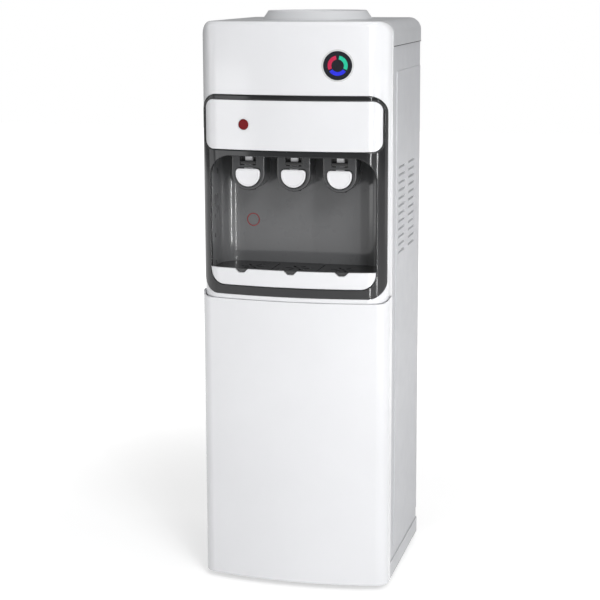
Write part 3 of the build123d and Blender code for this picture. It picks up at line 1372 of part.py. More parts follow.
def discharge_pipe():
    """The pipe from the compressor up to the head of the condenser."""
    y = CONDENSER_Y
    route = [
        (-CONDENSER_HALF_WIDTH, y, CONDENSER_TOP),
        (DISCHARGE_PIPE_X, y, CONDENSER_TOP),
        (DISCHARGE_PIPE_X, y, DISCHARGE_PIPE_Z),
        (DISCHARGE_PIPE_X, DISCHARGE_PIPE_Y, DISCHARGE_PIPE_Z),
        (DISCHARGE_PORT_X, DISCHARGE_PIPE_Y, DISCHARGE_PIPE_Z),
        (DISCHARGE_PORT_X, DISCHARGE_PIPE_Y, DISCHARGE_PORT_Z),
        (DISCHARGE_PORT_X, COMPRESSOR_Y, DISCHARGE_PORT_Z),
    ]
    return tube(route, CONDENSER_TUBE_RADIUS, PIPE_BEND) - compressor()


def suction_pipe():
    """The pipe from the cold tank's foam jacket down to the compressor."""
    route = [
        (0, COMPRESSOR_Y, HOSE_LEVEL),
        (SUCTION_PIPE_X, COMPRESSOR_Y, HOSE_LEVEL),
        (SUCTION_PIPE_X, COMPRESSOR_Y, SUCTION_PORT_Z),
        (COMPRESSOR_X, COMPRESSOR_Y, SUCTION_PORT_Z),
    ]
    return tube(route, PIPE_RADIUS, PIPE_BEND) - foam_shape() - compressor()


def rocker_heights():
    """The heights of the two rear switches."""
    return (SERVICE_Z - SWITCH_PITCH / 2, SERVICE_Z + SWITCH_PITCH / 2)


def switch_bezel():
    """The moulded bezel that holds both rear rockers."""
    bezel = Part()
    for z in rocker_heights():
        wide = ROCKER_HALF_WIDTH + BEZEL_MARGIN
        tall = ROCKER_HALF_HEIGHT + BEZEL_MARGIN
        proud = REAR_FACE_Y + BEZEL_PROUD
        bezel += block(SWITCH_X - wide, SWITCH_X + wide, REAR_FACE_Y, proud, z - tall, z + tall)
        wide -= BEZEL_MARGIN / 2
        tall -= BEZEL_MARGIN / 2
        deep = REAR_FACE_Y - BEZEL_DEPTH
        bezel += block(SWITCH_X - wide, SWITCH_X + wide, deep, REAR_FACE_Y, z - tall, z + tall)
    for z in rocker_heights():
        wide = ROCKER_HALF_WIDTH + ROCKER_GAP
        tall = ROCKER_HALF_HEIGHT + ROCKER_GAP
        well_floor = REAR_FACE_Y - BEZEL_DEPTH + BEZEL_MARGIN / 2
        bezel -= block(SWITCH_X - wide, SWITCH_X + wide, well_floor, REAR_Y, z - tall, z + tall)
        reach = ROCKER_HALF_WIDTH + ROCKER_AXLE_REACH
        radius = ROCKER_AXLE_RADIUS + PIN_RUNNING_FIT
        bezel -= rod_x(REAR_FACE_Y, z, radius, SWITCH_X - reach, SWITCH_X + reach)
    return bezel


def rocker(z):
    """A rear rocker with a shallow dished face, tilted to its off side."""
    section = Plane.YZ * Polyline(
        (-ROCKER_BACK, -ROCKER_HALF_HEIGHT),
        (ROCKER_FRONT, -ROCKER_HALF_HEIGHT),
        (ROCKER_FRONT - ROCKER_CROWN, 0),
        (ROCKER_FRONT, ROCKER_HALF_HEIGHT),
        (-ROCKER_BACK, ROCKER_HALF_HEIGHT),
        close=True,
    )
    place = Pos(-ROCKER_HALF_WIDTH)
    body = extrude(place * make_face(section), 2 * ROCKER_HALF_WIDTH, dir=(1, 0, 0))
    body &= rod_x(0, 0, ROCKER_HALF_HEIGHT, -ROCKER_HALF_WIDTH, ROCKER_HALF_WIDTH)
    reach = ROCKER_HALF_WIDTH + ROCKER_AXLE_REACH - ROCKER_GAP / 2
    body += rod_x(0, 0, ROCKER_AXLE_RADIUS, -reach, reach)
    return Pos(SWITCH_X, REAR_FACE_Y, z) * Rot(ROCKER_TILT, 0, 0) * body


def mains_gland():
    """The cable gland for the supply lead: a six-sided nut outside and a threaded body inside."""
    nut = Plane.XZ * (Pos(GLAND_X, SERVICE_Z) * RegularPolygon(GLAND_NUT_RADIUS, 6))
    gland = y_prism(nut, REAR_FACE_Y, REAR_FACE_Y + GLAND_FLANGE)
    gland += rod_y(GLAND_X, SERVICE_Z, GLAND_RADIUS, REAR_FACE_Y - GLAND_PROUD, REAR_FACE_Y + GLAND_PROUD)
    gland += y_prism(nut, REAR_FACE_Y - SHEET - GLAND_FLANGE, REAR_FACE_Y - SHEET)
    return gland - rod_y(GLAND_X, SERVICE_Z, GLAND_BORE_RADIUS, REAR_FACE_Y - 2 * GLAND_PROUD, REAR_Y)


def drain_places():
    """The places of the two drains across the rear sheet."""
    return (-DRAIN_PITCH / 2, DRAIN_PITCH / 2)


def drain_outlets():
    """The two drain nipples through the rear sheet."""
    outlets = []
    for x in drain_places():
        nipple = rod_y(x, SERVICE_Z, DRAIN_RADIUS, REAR_FACE_Y - DRAIN_INNER, REAR_FACE_Y + DRAIN_PROUD)
        seat = REAR_FACE_Y - SHEET
        nipple += rod_y(x, SERVICE_Z, DRAIN_FLANGE_RADIUS, seat - DRAIN_FLANGE, seat)
        outlets.append(nipple - rod_y(x, SERVICE_Z, DRAIN_BORE_RADIUS, 0, REAR_Y))
    return outlets


def drain_caps():
    """Ribbed caps over the two drains."""
    caps = []
    for x in drain_places():
        seat = REAR_FACE_Y + DRAIN_PROUD - CAP_LENGTH
        cap = rod_y(x, SERVICE_Z, CAP_RADIUS, seat, seat + CAP_LENGTH + CAP_WALL)
        cap -= rod_y(x, SERVICE_Z, DRAIN_RADIUS, seat - OVERRUN, seat + CAP_LENGTH)
        for rib in range(CAP_RIBS):
            angle = math.radians(rib * 360 / CAP_RIBS)
            groove_x = x + CAP_RADIUS * math.cos(angle)
            groove_z = SERVICE_Z + CAP_RADIUS * math.sin(angle)
            cap -= rod_y(groove_x, groove_z, CAP_GROOVE_RADIUS, seat - OVERRUN, REAR_Y)
        caps.append(cap)
    return caps


def write(name, shape):
    """Write one sub-part, a solid or a group of solids, to its own file."""
    solids = shape if isinstance(shape, list) else [shape]
    body = Compound([solid for item in solids for solid in item.solids()])
    export_step(body, os.path.join("parts", name + ".step"))


def main():
    """Make every sub-part and write it."""
    os.makedirs("parts", exist_ok=True)
    heat_z, cool_z = rocker_heights()
    pieces = {
        "base_pan": base_pan(),
        "levelling_feet": levelling_feet(),
        "left_side_panel": left_side_panel(),
        "right_side_panel": right_side_panel(),
        "rear_panel": rear_panel(),
        "lower_front_panel": lower_front_panel(),
        "upper_front_panel": upper_front_panel(),
        "top_cover": top_cover(),
        "bottle_collar": bottle_collar(),
        "bottle_seat": bottle_seat(),
        "bottle_probe": bottle_probe(),
        "fascia_frame": fascia_frame(),
        "control_strip": control_strip(),
        "niche_liner": niche_liner(),
        "drip_tray": drip_tray(),
        "drip_grille": drip_grille(),
        "tap_pins": tap_pins(),
        "dial_bezel": dial_bezel(),
        "dial_lens": dial_lens(),
        "display_board": display_board(),
        "button_bezel": button_bezel(),
        "hot_lock_button": hot_lock_button(),
        "lock_switch": lock_switch(),
        "tank_shelf": tank_shelf(),
        "cold_tank": cold_tank(),
        "evaporator_sleeve": evaporator_sleeve(),
        "cold_tank_insulation": cold_tank_insulation(),
        "hot_tank": hot_tank(),
        "hot_tank_heater": hot_tank_heater(),
        "hot_tank_bracket": hot_tank_bracket(),
        "cold_hose": cold_hose(),
        "room_hose": room_hose(),
        "hot_hose": hot_hose(),
        "compressor": compressor(),
        "compressor_mounts": compressor_mounts(),
        "terminal_box": terminal_box(),
        "filter_drier": filter_drier(),
        "discharge_pipe": discharge_pipe(),
        "suction_pipe": suction_pipe(),
        "condenser_coil": condenser_coil(),
        "condenser_wires": condenser_wires(),
        "condenser_brackets": condenser_brackets(),
        "switch_bezel": switch_bezel(),
        "heating_switch": rocker(heat_z),
        "cooling_switch": rocker(cool_z),
        "mains_gland": mains_gland(),
        "drain_outlets": drain_outlets(),
        "drain_caps": drain_caps(),
    }
    for name, x in TAP_XS.items():
        pieces["tap_housing_" + name] = tap_housing(x)
        pieces["tap_paddle_" + name] = tap_paddle(x)
        pieces["tap_spout_" + name] = tap_spout(x)
    for colour in LIGHT_ANGLES:
        pieces["dial_light_" + colour] = dial_light(colour)
    for name, shape in pieces.items():
        write(name, shape)


main()
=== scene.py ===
import json
import math

import bpy
import bmesh
from mathutils import Matrix, Vector


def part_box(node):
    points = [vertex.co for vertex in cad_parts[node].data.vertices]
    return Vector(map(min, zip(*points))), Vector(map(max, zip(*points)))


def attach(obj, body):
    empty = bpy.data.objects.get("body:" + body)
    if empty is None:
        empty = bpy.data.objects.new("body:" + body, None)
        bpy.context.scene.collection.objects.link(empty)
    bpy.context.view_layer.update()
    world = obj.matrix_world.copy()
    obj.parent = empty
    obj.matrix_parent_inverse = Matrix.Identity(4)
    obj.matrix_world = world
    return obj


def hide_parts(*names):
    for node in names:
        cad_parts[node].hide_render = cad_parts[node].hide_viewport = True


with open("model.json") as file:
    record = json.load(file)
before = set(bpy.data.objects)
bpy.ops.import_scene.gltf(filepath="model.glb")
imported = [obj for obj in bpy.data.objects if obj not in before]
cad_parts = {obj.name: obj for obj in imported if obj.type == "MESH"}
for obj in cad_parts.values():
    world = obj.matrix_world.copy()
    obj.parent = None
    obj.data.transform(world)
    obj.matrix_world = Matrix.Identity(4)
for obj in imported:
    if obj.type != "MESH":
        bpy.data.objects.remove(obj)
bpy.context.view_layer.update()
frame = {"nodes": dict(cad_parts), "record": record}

# Lengths are in metres and turns in radians, and the camera's values are in its own units

NODES = frame["nodes"]
SIDES = ((-1, "left"), (1, "right"))
TO_FRONT = (0, -1, 0)
TO_BACK = (0, 1, 0)
TO_TOP = (0, 0, 1)


# Shader helpers

NOISE_SPAN = (0.3, 0.7)
EVEN = (1, 1, 1)
BEVEL_SAMPLES = 6
COAT_ROUGHNESS = 0.08
TONE_DETAIL = 4.0
TONE_ROUGHNESS = 0.55
GLOSS_DETAIL = 3.0
GRAIN_DETAIL = 2.0
GRAIN_ROUGHNESS = 0.6
PLAIN_ROUGHNESS = 0.5


def set_inputs(node, values):
    """Sets a node's inputs by name; an underscore in a name stands for a space."""
    for name, value in values.items():
        node.inputs[name.replace("_", " ")].default_value = value


def new_node(tree, kind, **values):
    """A new shader node with its inputs set."""
    node = tree.nodes.new(kind)
    set_inputs(node, values)
    return node


class Finish:
    """A new material with short calls for the nodes that feed its surface."""

    def __init__(self, name):
        self.material = bpy.data.materials.new(name)
        self.material.use_nodes = True
        self.tree = self.material.node_tree
        self.surface = self.tree.nodes["Principled BSDF"]
        self.place = new_node(self.tree, "ShaderNodeTexCoord")

    def link(self, start, end):
        self.tree.links.new(start, end)

    def noise(self, scale, detail, roughness=PLAIN_ROUGHNESS, stretch=EVEN):
        """Noise over the object's own place, finer as its scale rises."""
        mapping = new_node(self.tree, "ShaderNodeMapping", Scale=stretch)
        noise = new_node(self.tree, "ShaderNodeTexNoise", Scale=scale, Detail=detail, Roughness=roughness)
        self.link(self.place.outputs["Object"], mapping.inputs["Vector"])
        self.link(mapping.outputs["Vector"], noise.inputs["Vector"])
        return noise.outputs["Fac"]

    def tone(self, noise, dark, light):
        """The surface's colour goes from dark to light as the noise rises."""
        ramp = new_node(self.tree, "ShaderNodeValToRGB")
        for element, share, colour in zip(ramp.color_ramp.elements, NOISE_SPAN, (dark, light)):
            element.position = share
            element.color = (*colour, 1)
        self.link(noise, ramp.inputs["Fac"])
        self.link(ramp.outputs["Color"], self.surface.inputs["Base Color"])

    def gloss(self, noise, low, high):
        """The surface's roughness goes from low to high as the noise rises."""
        start, end = NOISE_SPAN
        spread = new_node(self.tree, "ShaderNodeMapRange", From_Min=start, From_Max=end,
                          To_Min=low, To_Max=high)
        self.link(noise, spread.inputs["Value"])
        self.link(spread.outputs["Result"], self.surface.inputs["Roughness"])

    def grain(self, noise, strength, depth, ease=0.0):
        """A grain of that depth in metres on the surface, over edges that are softened by the ease."""
        bump = new_node(self.tree, "ShaderNodeBump", Strength=strength, Distance=depth)
        self.link(noise, bump.inputs["Height"])
        if ease:
            rounded = new_node(self.tree, "ShaderNodeBevel", Radius=ease)
            rounded.samples = BEVEL_SAMPLES
            self.link(rounded.outputs["Normal"], bump.inputs["Normal"])
        self.link(bump.outputs["Normal"], self.surface.inputs["Normal"])

    def set(self, **values):
        set_inputs(self.surface, values)


def finish_of(name, dark, light, rough, metallic=0.0, coat=0.0, ease=0.0, tone=6.0, gloss=40.0, grain=900.0,
              grain_depth=0.00002, grain_strength=0.15, grain_stretch=EVEN, **more):
    """A finish with mottled tone, uneven gloss, a fine grain and, where it has an ease, softened edges.

    dark and light end its tone, and rough holds both ends of its roughness. tone, gloss and grain are the
    scales of their noise, grain_depth and ease are sizes, and more holds further inputs of the surface.
    """
    finish = Finish(name)
    finish.tone(finish.noise(tone, TONE_DETAIL, TONE_ROUGHNESS), dark, light)
    finish.gloss(finish.noise(gloss, GLOSS_DETAIL), *rough)
    fine_noise = finish.noise(grain, GRAIN_DETAIL, GRAIN_ROUGHNESS, grain_stretch)
    finish.grain(fine_noise, grain_strength, grain_depth, ease)
    finish.set(Metallic=metallic, **more)
    if coat:
        finish.set(Coat_Weight=coat, Coat_Roughness=COAT_ROUGHNESS)
    return finish.material


# Finishes, each under the material slot that it dresses; collar_lit_grey is for the bottle collar alone, a
# lighter copy of the grey moulding that paints light onto it

MATERIALS = {
    "white_gloss": finish_of(
        "white_gloss_abs", (0.80, 0.805, 0.825), (0.825, 0.83, 0.85), (0.20, 0.26),
        coat=0.35, ease=0.0012, grain=220.0, grain_depth=0.00004, grain_strength=0.06),
    "white_paddle": finish_of(
        "paddle_white_abs", (0.82, 0.82, 0.84), (0.86, 0.86, 0.88), (0.16, 0.22), coat=0.3, ease=0.0008),
    "grey_sheet": finish_of(
        "grey_powder_coat", (0.545, 0.552, 0.575), (0.57, 0.577, 0.60), (0.36, 0.46),
        ease=0.0012, tone=4.0, grain=1100.0, grain_depth=0.00003, grain_strength=0.3),
    "grey_moulding": finish_of(
        "grey_moulded_abs", (0.53, 0.538, 0.556), (0.555, 0.563, 0.58), (0.34, 0.42),
        ease=0.0015, tone=5.0, grain=1500.0, grain_strength=0.3),
    # Painted light: the collar's grey is lifted above the grey moulding's
    "collar_lit_grey": finish_of(
        "collar_painted_light_abs", (0.66, 0.668, 0.685), (0.70, 0.708, 0.725), (0.30, 0.38),
        ease=0.0008, tone=5.0, grain=1500.0, grain_strength=0.3),
    "seat_white": finish_of("seat_white_pp", (0.74, 0.745, 0.75), (0.79, 0.79, 0.80), (0.30, 0.40)),
    "graphite_frame": finish_of(
        "graphite_lacquer", (0.018, 0.0185, 0.020), (0.024, 0.0245, 0.026), (0.10, 0.14),
        metallic=0.2, coat=0.2, ease=0.0008, grain=1600.0, grain_depth=0.00001, grain_strength=0.10,
        Specular_IOR_Level=0.35),
    "niche_grey": finish_of(
        "niche_metal_lacquer", (0.132, 0.134, 0.138), (0.146, 0.148, 0.152), (0.26, 0.32),
        coat=0.75, grain=1800.0, grain_depth=0.00001, grain_strength=0.02, Specular_IOR_Level=0.15),
    "tap_graphite": finish_of(
        "tap_graphite_abs", (0.030, 0.031, 0.033), (0.040, 0.041, 0.043), (0.26, 0.34),
        coat=0.4, ease=0.0008),
    # The spouts are given a dark finish, though their slot is named white
    "spout_white": finish_of(
        "spout_dark_pp", (0.040, 0.040, 0.041), (0.055, 0.055, 0.056), (0.35, 0.45)),
    "black_grille": finish_of(
        "grille_black_abs", (0.010, 0.010, 0.011), (0.016, 0.016, 0.017), (0.18, 0.28), coat=0.3),
    "bright_ring": finish_of(
        "dial_ring_chrome", (0.86, 0.865, 0.87), (0.91, 0.91, 0.915), (0.16, 0.22), metallic=0.35),
    "dark_lens": finish_of(
        "dial_dark_lens", (0.006, 0.007, 0.012), (0.010, 0.011, 0.018), (0.05, 0.09), coat=1.0),
    "red_button": finish_of(
        "button_red_abs", (0.15, 0.003, 0.006), (0.20, 0.004, 0.008), (0.30, 0.38), Specular_IOR_Level=0.2),
    "black_plastic": finish_of(
        "black_pa", (0.018, 0.018, 0.019), (0.028, 0.028, 0.029), (0.38, 0.5), grain_strength=0.35),
    "circuit_board": finish_of(
        "board_green_resist", (0.015, 0.10, 0.035), (0.03, 0.16, 0.06), (0.3, 0.4), tone=120.0),
    "zinc_sheet": finish_of(
        "zinc_coated_sheet", (0.42, 0.43, 0.44), (0.56, 0.57, 0.58), (0.30, 0.48),
        metallic=1.0, tone=70.0, gloss=70.0, grain=400.0),
    "stainless": finish_of(
        "tank_stainless", (0.52, 0.52, 0.51), (0.60, 0.60, 0.59), (0.22, 0.34),
        metallic=1.0, grain=1200.0, grain_stretch=(1, 1, 14)),
    "heater_band": finish_of(
        "heater_band_steel", (0.30, 0.27, 0.23), (0.42, 0.38, 0.33), (0.3, 0.45), metallic=1.0, tone=40.0),
    "evaporator_metal": finish_of(
        "evaporator_aluminium", (0.58, 0.59, 0.60), (0.66, 0.67, 0.68), (0.28, 0.4), metallic=1.0),
    "white_foam": finish_of(
        "foam_jacket", (0.74, 0.74, 0.70), (0.82, 0.82, 0.79), (0.85, 0.95),
        tone=30.0, grain=260.0, grain_depth=0.0006, grain_strength=0.6),
    "silicone_hose": finish_of(
        "silicone_hose", (0.62, 0.62, 0.60), (0.70, 0.70, 0.68), (0.4, 0.5), Subsurface_Weight=0.15),
    "black_enamel": finish_of(
        "black_enamel", (0.010, 0.010, 0.011), (0.016, 0.016, 0.017), (0.24, 0.36),
        coat=0.3, grain_strength=0.3),
    "black_rubber": finish_of(
        "black_rubber", (0.016, 0.016, 0.016), (0.026, 0.026, 0.026), (0.62, 0.78),
        grain=500.0, grain_strength=0.5),
    "copper_pipe": finish_of(
        "copper_pipe", (0.52, 0.24, 0.14), (0.68, 0.34, 0.20), (0.2, 0.36), metallic=1.0, tone=60.0),
    "drain_white": finish_of(
        "drain_white_pp", (0.62, 0.62, 0.61), (0.68, 0.68, 0.67), (0.4, 0.5)),
}
SCREW_STEEL = finish_of(
    "screw_zinc", (0.46, 0.46, 0.44), (0.60, 0.60, 0.57), (0.26, 0.42), metallic=1.0, tone=300.0, gloss=400.0)
MARK_RED = finish_of("mark_red_ink", (0.20, 0.012, 0.016), (0.28, 0.016, 0.022), (0.30, 0.38), tone=60.0)

# The three light pipes of the dial

PIPE_TONE = 260.0
PIPE_GLOSS = 90.0
PIPE_GRAIN = 700.0
PIPE_GRAIN_STRENGTH = 0.1
PIPE_GRAIN_DEPTH = 0.00002
PIPE_ROUGHNESS = (0.16, 0.24)
PIPE_LIFT = 1.25
PIPE_GLOW = 0.30


def light_pipe(name, colour, glow):
    """A glossy light pipe with a mottled tone and a weak glow."""
    finish = Finish(name)
    lighter = tuple(channel * PIPE_LIFT for channel in colour)
    finish.tone(finish.noise(PIPE_TONE, GRAIN_DETAIL), colour, lighter)
    finish.gloss(finish.noise(PIPE_GLOSS, GLOSS_DETAIL), *PIPE_ROUGHNESS)
    finish.grain(finish.noise(PIPE_GRAIN, GRAIN_DETAIL), PIPE_GRAIN_STRENGTH, PIPE_GRAIN_DEPTH)
    finish.set(Emission_Color=(*glow, 1), Emission_Strength=PIPE_GLOW)
    return finish.material


MATERIALS["light_red"] = light_pipe("light_pipe_red", (0.34, 0.012, 0.045), (0.60, 0.03, 0.09))
MATERIALS["light_green"] = light_pipe("light_pipe_green", (0.012, 0.33, 0.20), (0.03, 0.60, 0.36))
MATERIALS["light_blue"] = light_pipe("light_pipe_blue", (0.015, 0.02, 0.45), (0.03, 0.04, 0.85))


def dress_nodes():
    """Each node of the frame gets the finish of its slot, and the bottle collar a lighter copy of its grey,
    which is painted light.
    """
    for row in frame["record"]["subparts"]:
        finish = "collar_lit_grey" if row["node"] == "bottle_collar" else row["material_slot"]
        materials = NODES[row["node"]].data.materials
        materials.clear()
        materials.append(MATERIALS[finish])


# Mesh helpers

SMOOTH_ANGLE = math.radians(35)
ROUND_PROFILE = 0.5
BAR_EASE_SHARE = 0.25
BAR_EDGE_STEPS = 3


def finished_mesh(bm, name, material):
    """The mesh data of a finished bmesh, shaded smooth up to the smooth angle."""
    mesh = bpy.data.meshes.new(name)
    bm.to_mesh(mesh)
    bm.free()
    mesh.materials.append(material)
    for polygon in mesh.polygons:
        polygon.use_smooth = True
    mesh.set_sharp_from_angle(angle=SMOOTH_ANGLE)
    return mesh


def turned_ring(bm, radius, height, count):
    """A ring of evenly spaced points; a zero radius makes it a single point."""
    if radius == 0:
        return [bm.verts.new((0, 0, height))]
    ring = []
    for step in range(count):
        angle = 2 * math.pi * step / count
        ring.append(bm.verts.new((radius * math.cos(angle), radius * math.sin(angle), height)))
    return ring


def join_rings(bm, low_ring, high_ring, count):
    """The band of faces between two rings, either of which may be a single point."""
    for step in range(count):
        after = (step + 1) % count
        if len(low_ring) == 1:
            bm.faces.new((low_ring[0], high_ring[step], high_ring[after]))
        elif len(high_ring) == 1:
            bm.faces.new((low_ring[step], low_ring[after], high_ring[0]))
        else:
            bm.faces.new((low_ring[step], low_ring[after], high_ring[after], high_ring[step]))


def lathe(bm, profile, count):
    """A turned surface from radius and height pairs."""
    rings = [turned_ring(bm, radius, height, count) for radius, height in profile]
    for low_ring, high_ring in zip(rings, rings[1:]):
        join_rings(bm, low_ring, high_ring, count)
    return rings


def loop_edges(bm, ring):
    """The edges that run round a closed ring of points."""
    return [bm.edges.get(pair) for pair in zip(ring, ring[1:] + ring[:1])]


def bar_mesh(name, size, material):
    """A bar with eased edges, its middle at zero."""
    bm = bmesh.new()
    bmesh.ops.create_cube(bm, size=1.0)
    bmesh.ops.scale(bm, vec=size, verts=bm.verts)
    bmesh.ops.bevel(bm, geom=bm.edges, offset=BAR_EASE_SHARE * min(size), segments=BAR_EDGE_STEPS,
                    profile=ROUND_PROFILE, affect="EDGES")
    return finished_mesh(bm, name, material)


def add_piece(name, mesh, place=Matrix.Identity(4)):
    """Adds a piece that moves with the cabinet."""
    piece = bpy.data.objects.new(name, mesh)
    piece.matrix_world = place
    bpy.context.scene.collection.objects.link(piece)
    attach(piece, "cabinet")
    return piece


def on_surface(place, normal, turn=0.0):
    """The matrix that stands a piece on a surface, turned about the surface's normal."""
    facing = Vector(normal).to_track_quat("Z", "Y").to_matrix().to_4x4()
    return Matrix.Translation(place) @ facing @ Matrix.Rotation(turn, 4, "Z")


# Screws of the rear sheet, the base and the top cover

SCREW_SEGMENTS = 24
SCREW_PROFILE_SHARES = ((1.0, 0.0), (1.0, 0.35), (0.93, 0.68), (0.74, 0.93), (0.66, 1.0))
CROSS_TOP_SHARES = (0.52, 0.12)
CROSS_FLOOR_SHARES = (0.36, 0.10)
CROSS_FLOOR_HEIGHT_SHARE = 0.35
SHEET_SCREW_RADIUS = 0.0036
SHEET_SCREW_HEIGHT = 0.0020
COVER_SCREW_RADIUS = 0.0042
COVER_SCREW_HEIGHT = 0.0022

# Where the screws sit, and the turns of their crosses, which all differ

REAR_SCREW_COUNT = 6
REAR_SCREW_INSET = 0.0075
REAR_SCREW_END_GAP = 0.030
REAR_SCREW_TURN = 0.35
REAR_SCREW_STEP_RATIO = 1.7
BASE_SCREW_X = 0.118
BASE_SCREW_RISE = 0.016
BASE_SCREW_TURN = 0.4
COVER_SCREW_X = 0.128
COVER_SCREW_RISE = 0.014
COVER_SCREW_TURN = 0.9


def cross_ring(bm, reach, half_width, height):
    """The twelve corners of a cross, counter-clockwise."""
    a, b = reach, half_width
    arms = ((a, -b), (a, b), (b, b), (b, a), (-b, a), (-b, b))
    corners = arms + tuple((-x, -y) for x, y in arms)
    return [bm.verts.new((x, y, height)) for x, y in corners]


def screw_mesh(name, radius, height):
    """A pan-head screw with a tapered cross recess."""
    bm = bmesh.new()
    profile = [(radius * across, height * up) for across, up in SCREW_PROFILE_SHARES]
    rings = lathe(bm, profile, SCREW_SEGMENTS)
    bm.faces.new(list(reversed(rings[0])))
    reach, half_width = CROSS_TOP_SHARES
    mouth = cross_ring(bm, radius * reach, radius * half_width, height)
    reach, half_width = CROSS_FLOOR_SHARES
    floor = cross_ring(bm, radius * reach, radius * half_width, height * CROSS_FLOOR_HEIGHT_SHARE)
    join_rings(bm, floor, mouth, len(mouth))
    bm.faces.new(floor)
    edges = loop_edges(bm, mouth) + loop_edges(bm, rings[-1])
    bmesh.ops.triangle_fill(bm, edges=edges, use_beauty=True, normal=TO_TOP)
    bmesh.ops.recalc_face_normals(bm, faces=bm.faces)
    return finished_mesh(bm, name, SCREW_STEEL)


def add_rear_screws():
    """The screws that hold the rear sheet to the folded edges of the side sheets."""
    screw = screw_mesh("sheet_screw", SHEET_SCREW_RADIUS, SHEET_SCREW_HEIGHT)
    side_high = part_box("right_side_panel")[1]
    rear_low, rear_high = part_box("rear_panel")
    run = rear_high.z - rear_low.z - 2 * REAR_SCREW_END_GAP
    for side, word in SIDES:
        for number in range(REAR_SCREW_COUNT):
            share = number / (REAR_SCREW_COUNT - 1)
            place = (
                side * (side_high.x - REAR_SCREW_INSET),
                side_high.y,
                rear_low.z + REAR_SCREW_END_GAP + share * run,
            )
            turn = REAR_SCREW_TURN * (number * REAR_SCREW_STEP_RATIO + side)
            add_piece("rear_screw_%s_%d" % (word, number), screw, on_surface(place, TO_BACK, turn))


def add_base_and_cover_screws():
    """Two screws low on the back of the base and two in the rear skirt of the top cover."""
    screw = screw_mesh("cover_screw", COVER_SCREW_RADIUS, COVER_SCREW_HEIGHT)
    base_low, base_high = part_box("base_pan")
    cover_low, cover_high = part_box("top_cover")
    for side, word in SIDES:
        base_place = (side * BASE_SCREW_X, base_high.y, base_low.z + BASE_SCREW_RISE)
        add_piece("base_screw_" + word, screw, on_surface(base_place, TO_BACK, BASE_SCREW_TURN * side))
        cover_place = (side * COVER_SCREW_X, cover_high.y, cover_low.z + COVER_SCREW_RISE)
        add_piece("cover_screw_" + word, screw, on_surface(cover_place, TO_BACK, COVER_SCREW_TURN * side))


# Bolts that hold the compressor's plate on its rubber mounts

BOLT_SIDES = 6
BOLT_RADIUS = 0.0055
BOLT_HEIGHT = 0.0042
BOLT_EDGE_SHARE = 0.86
WASHER_RADIUS = 0.0085
WASHER_HEIGHT = 0.0012
WASHER_SEGMENTS = 32
MOUNT_INSET = 0.012
PLATE_THICKNESS = 0.003
BOLT_TURN_RATE = 40
MM_TO_THE_METRE = 1000


def hex_bolt_mesh(name):
    """A six-sided bolt head with a chamfered top, on a washer."""
    bm = bmesh.new()
    washer = [(0, 0), (WASHER_RADIUS, 0), (WASHER_RADIUS, WASHER_HEIGHT), (0, WASHER_HEIGHT)]
    lathe(bm, washer, WASHER_SEGMENTS)
    head = [
        (BOLT_RADIUS, WASHER_HEIGHT),
        (BOLT_RADIUS, WASHER_HEIGHT + BOLT_HEIGHT * BOLT_EDGE_SHARE),
        (BOLT_RADIUS * BOLT_EDGE_SHARE, WASHER_HEIGHT + BOLT_HEIGHT),
    ]
    rings = lathe(bm, head, BOLT_SIDES)
    bm.faces.new(rings[-1])
    bm.faces.new(list(reversed(rings[0])))
    bmesh.ops.recalc_face_normals(bm, faces=bm.faces)
    return finished_mesh(bm, name, SCREW_STEEL)


def add_mount_bolts():
    """A bolt over each rubber mount, on top of the compressor's plate."""
    bolt = hex_bolt_mesh("mount_bolt")
    mount_low, mount_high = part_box("compressor_mounts")
    plate_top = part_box("compressor")[0].z + PLATE_THICKNESS
    for x in (mount_low.x + MOUNT_INSET, mount_high.x - MOUNT_INSET):
        for y in (mount_low.y + MOUNT_INSET, mount_high.y - MOUNT_INSET):
            name = "mount_bolt_%d_%d" % (x * MM_TO_THE_METRE, y * MM_TO_THE_METRE)
            add_piece(name, bolt, on_surface((x, y, plate_top), TO_TOP, x * BOLT_TURN_RATE))


# The plain red ring on the back of the niche, over the hot side

LINER_WALL = 0.0025
RING_SEGMENTS = 72
RING_INNER = 0.0096
RING_OUTER = 0.0112
RING_THICKNESS = 0.0003
RING_EASE_SHARE = 0.4
RING_X = -0.090
RING_Z = 0.615


def ring_mesh(name):
    """A flat ring with eased edges."""
    ease = RING_THICKNESS * RING_EASE_SHARE
    bm = bmesh.new()
    profile = [
        (RING_INNER, 0),
        (RING_INNER, RING_THICKNESS - ease),
        (RING_INNER + ease, RING_THICKNESS),
        (RING_OUTER - ease, RING_THICKNESS),
        (RING_OUTER, RING_THICKNESS - ease),
        (RING_OUTER, 0),
    ]
    rings = lathe(bm, profile, RING_SEGMENTS)
    join_rings(bm, rings[0], rings[-1], RING_SEGMENTS)
    bmesh.ops.recalc_face_normals(bm, faces=bm.faces)
    return finished_mesh(bm, name, MARK_RED)


def add_ring_mark():
    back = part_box("niche_liner")[1].y - LINER_WALL
    add_piece("niche_ring_mark", ring_mesh("ring_mark"), on_surface((RING_X, back, RING_Z), TO_FRONT))


# Dark sills inside the windows above the paddles

WINDOW_HEIGHT = 0.0318
SILL_HEIGHT = 0.0058
SILL_DEPTH = 0.0034
SILL_SETBACK = 0.0002
SILL_HALF_WIDTH = 0.0130


def add_window_sills():
    sill = bar_mesh("window_sill", (2 * SILL_HALF_WIDTH, SILL_DEPTH, SILL_HEIGHT), MATERIALS["black_plastic"])
    for kind in ("hot", "room", "cold"):
        housing_low, housing_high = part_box("tap_housing_" + kind)
        place = (
            (housing_low.x + housing_high.x) / 2,
            housing_low.y + SILL_SETBACK + SILL_DEPTH / 2,
            housing_high.z - WINDOW_HEIGHT + SILL_HEIGHT / 2,
        )
        add_piece("window_sill_" + kind, sill, Matrix.Translation(place))


# Painted shade: black strips along the top cover's lower edge, which paint the shadow in the seam between the
# cover and the side sheets

SEAM_SHADE_HEIGHT = 0.0013
SEAM_SHADE_WIDTH = 0.0018
SEAM_SHADE_SETBACK = 0.0002


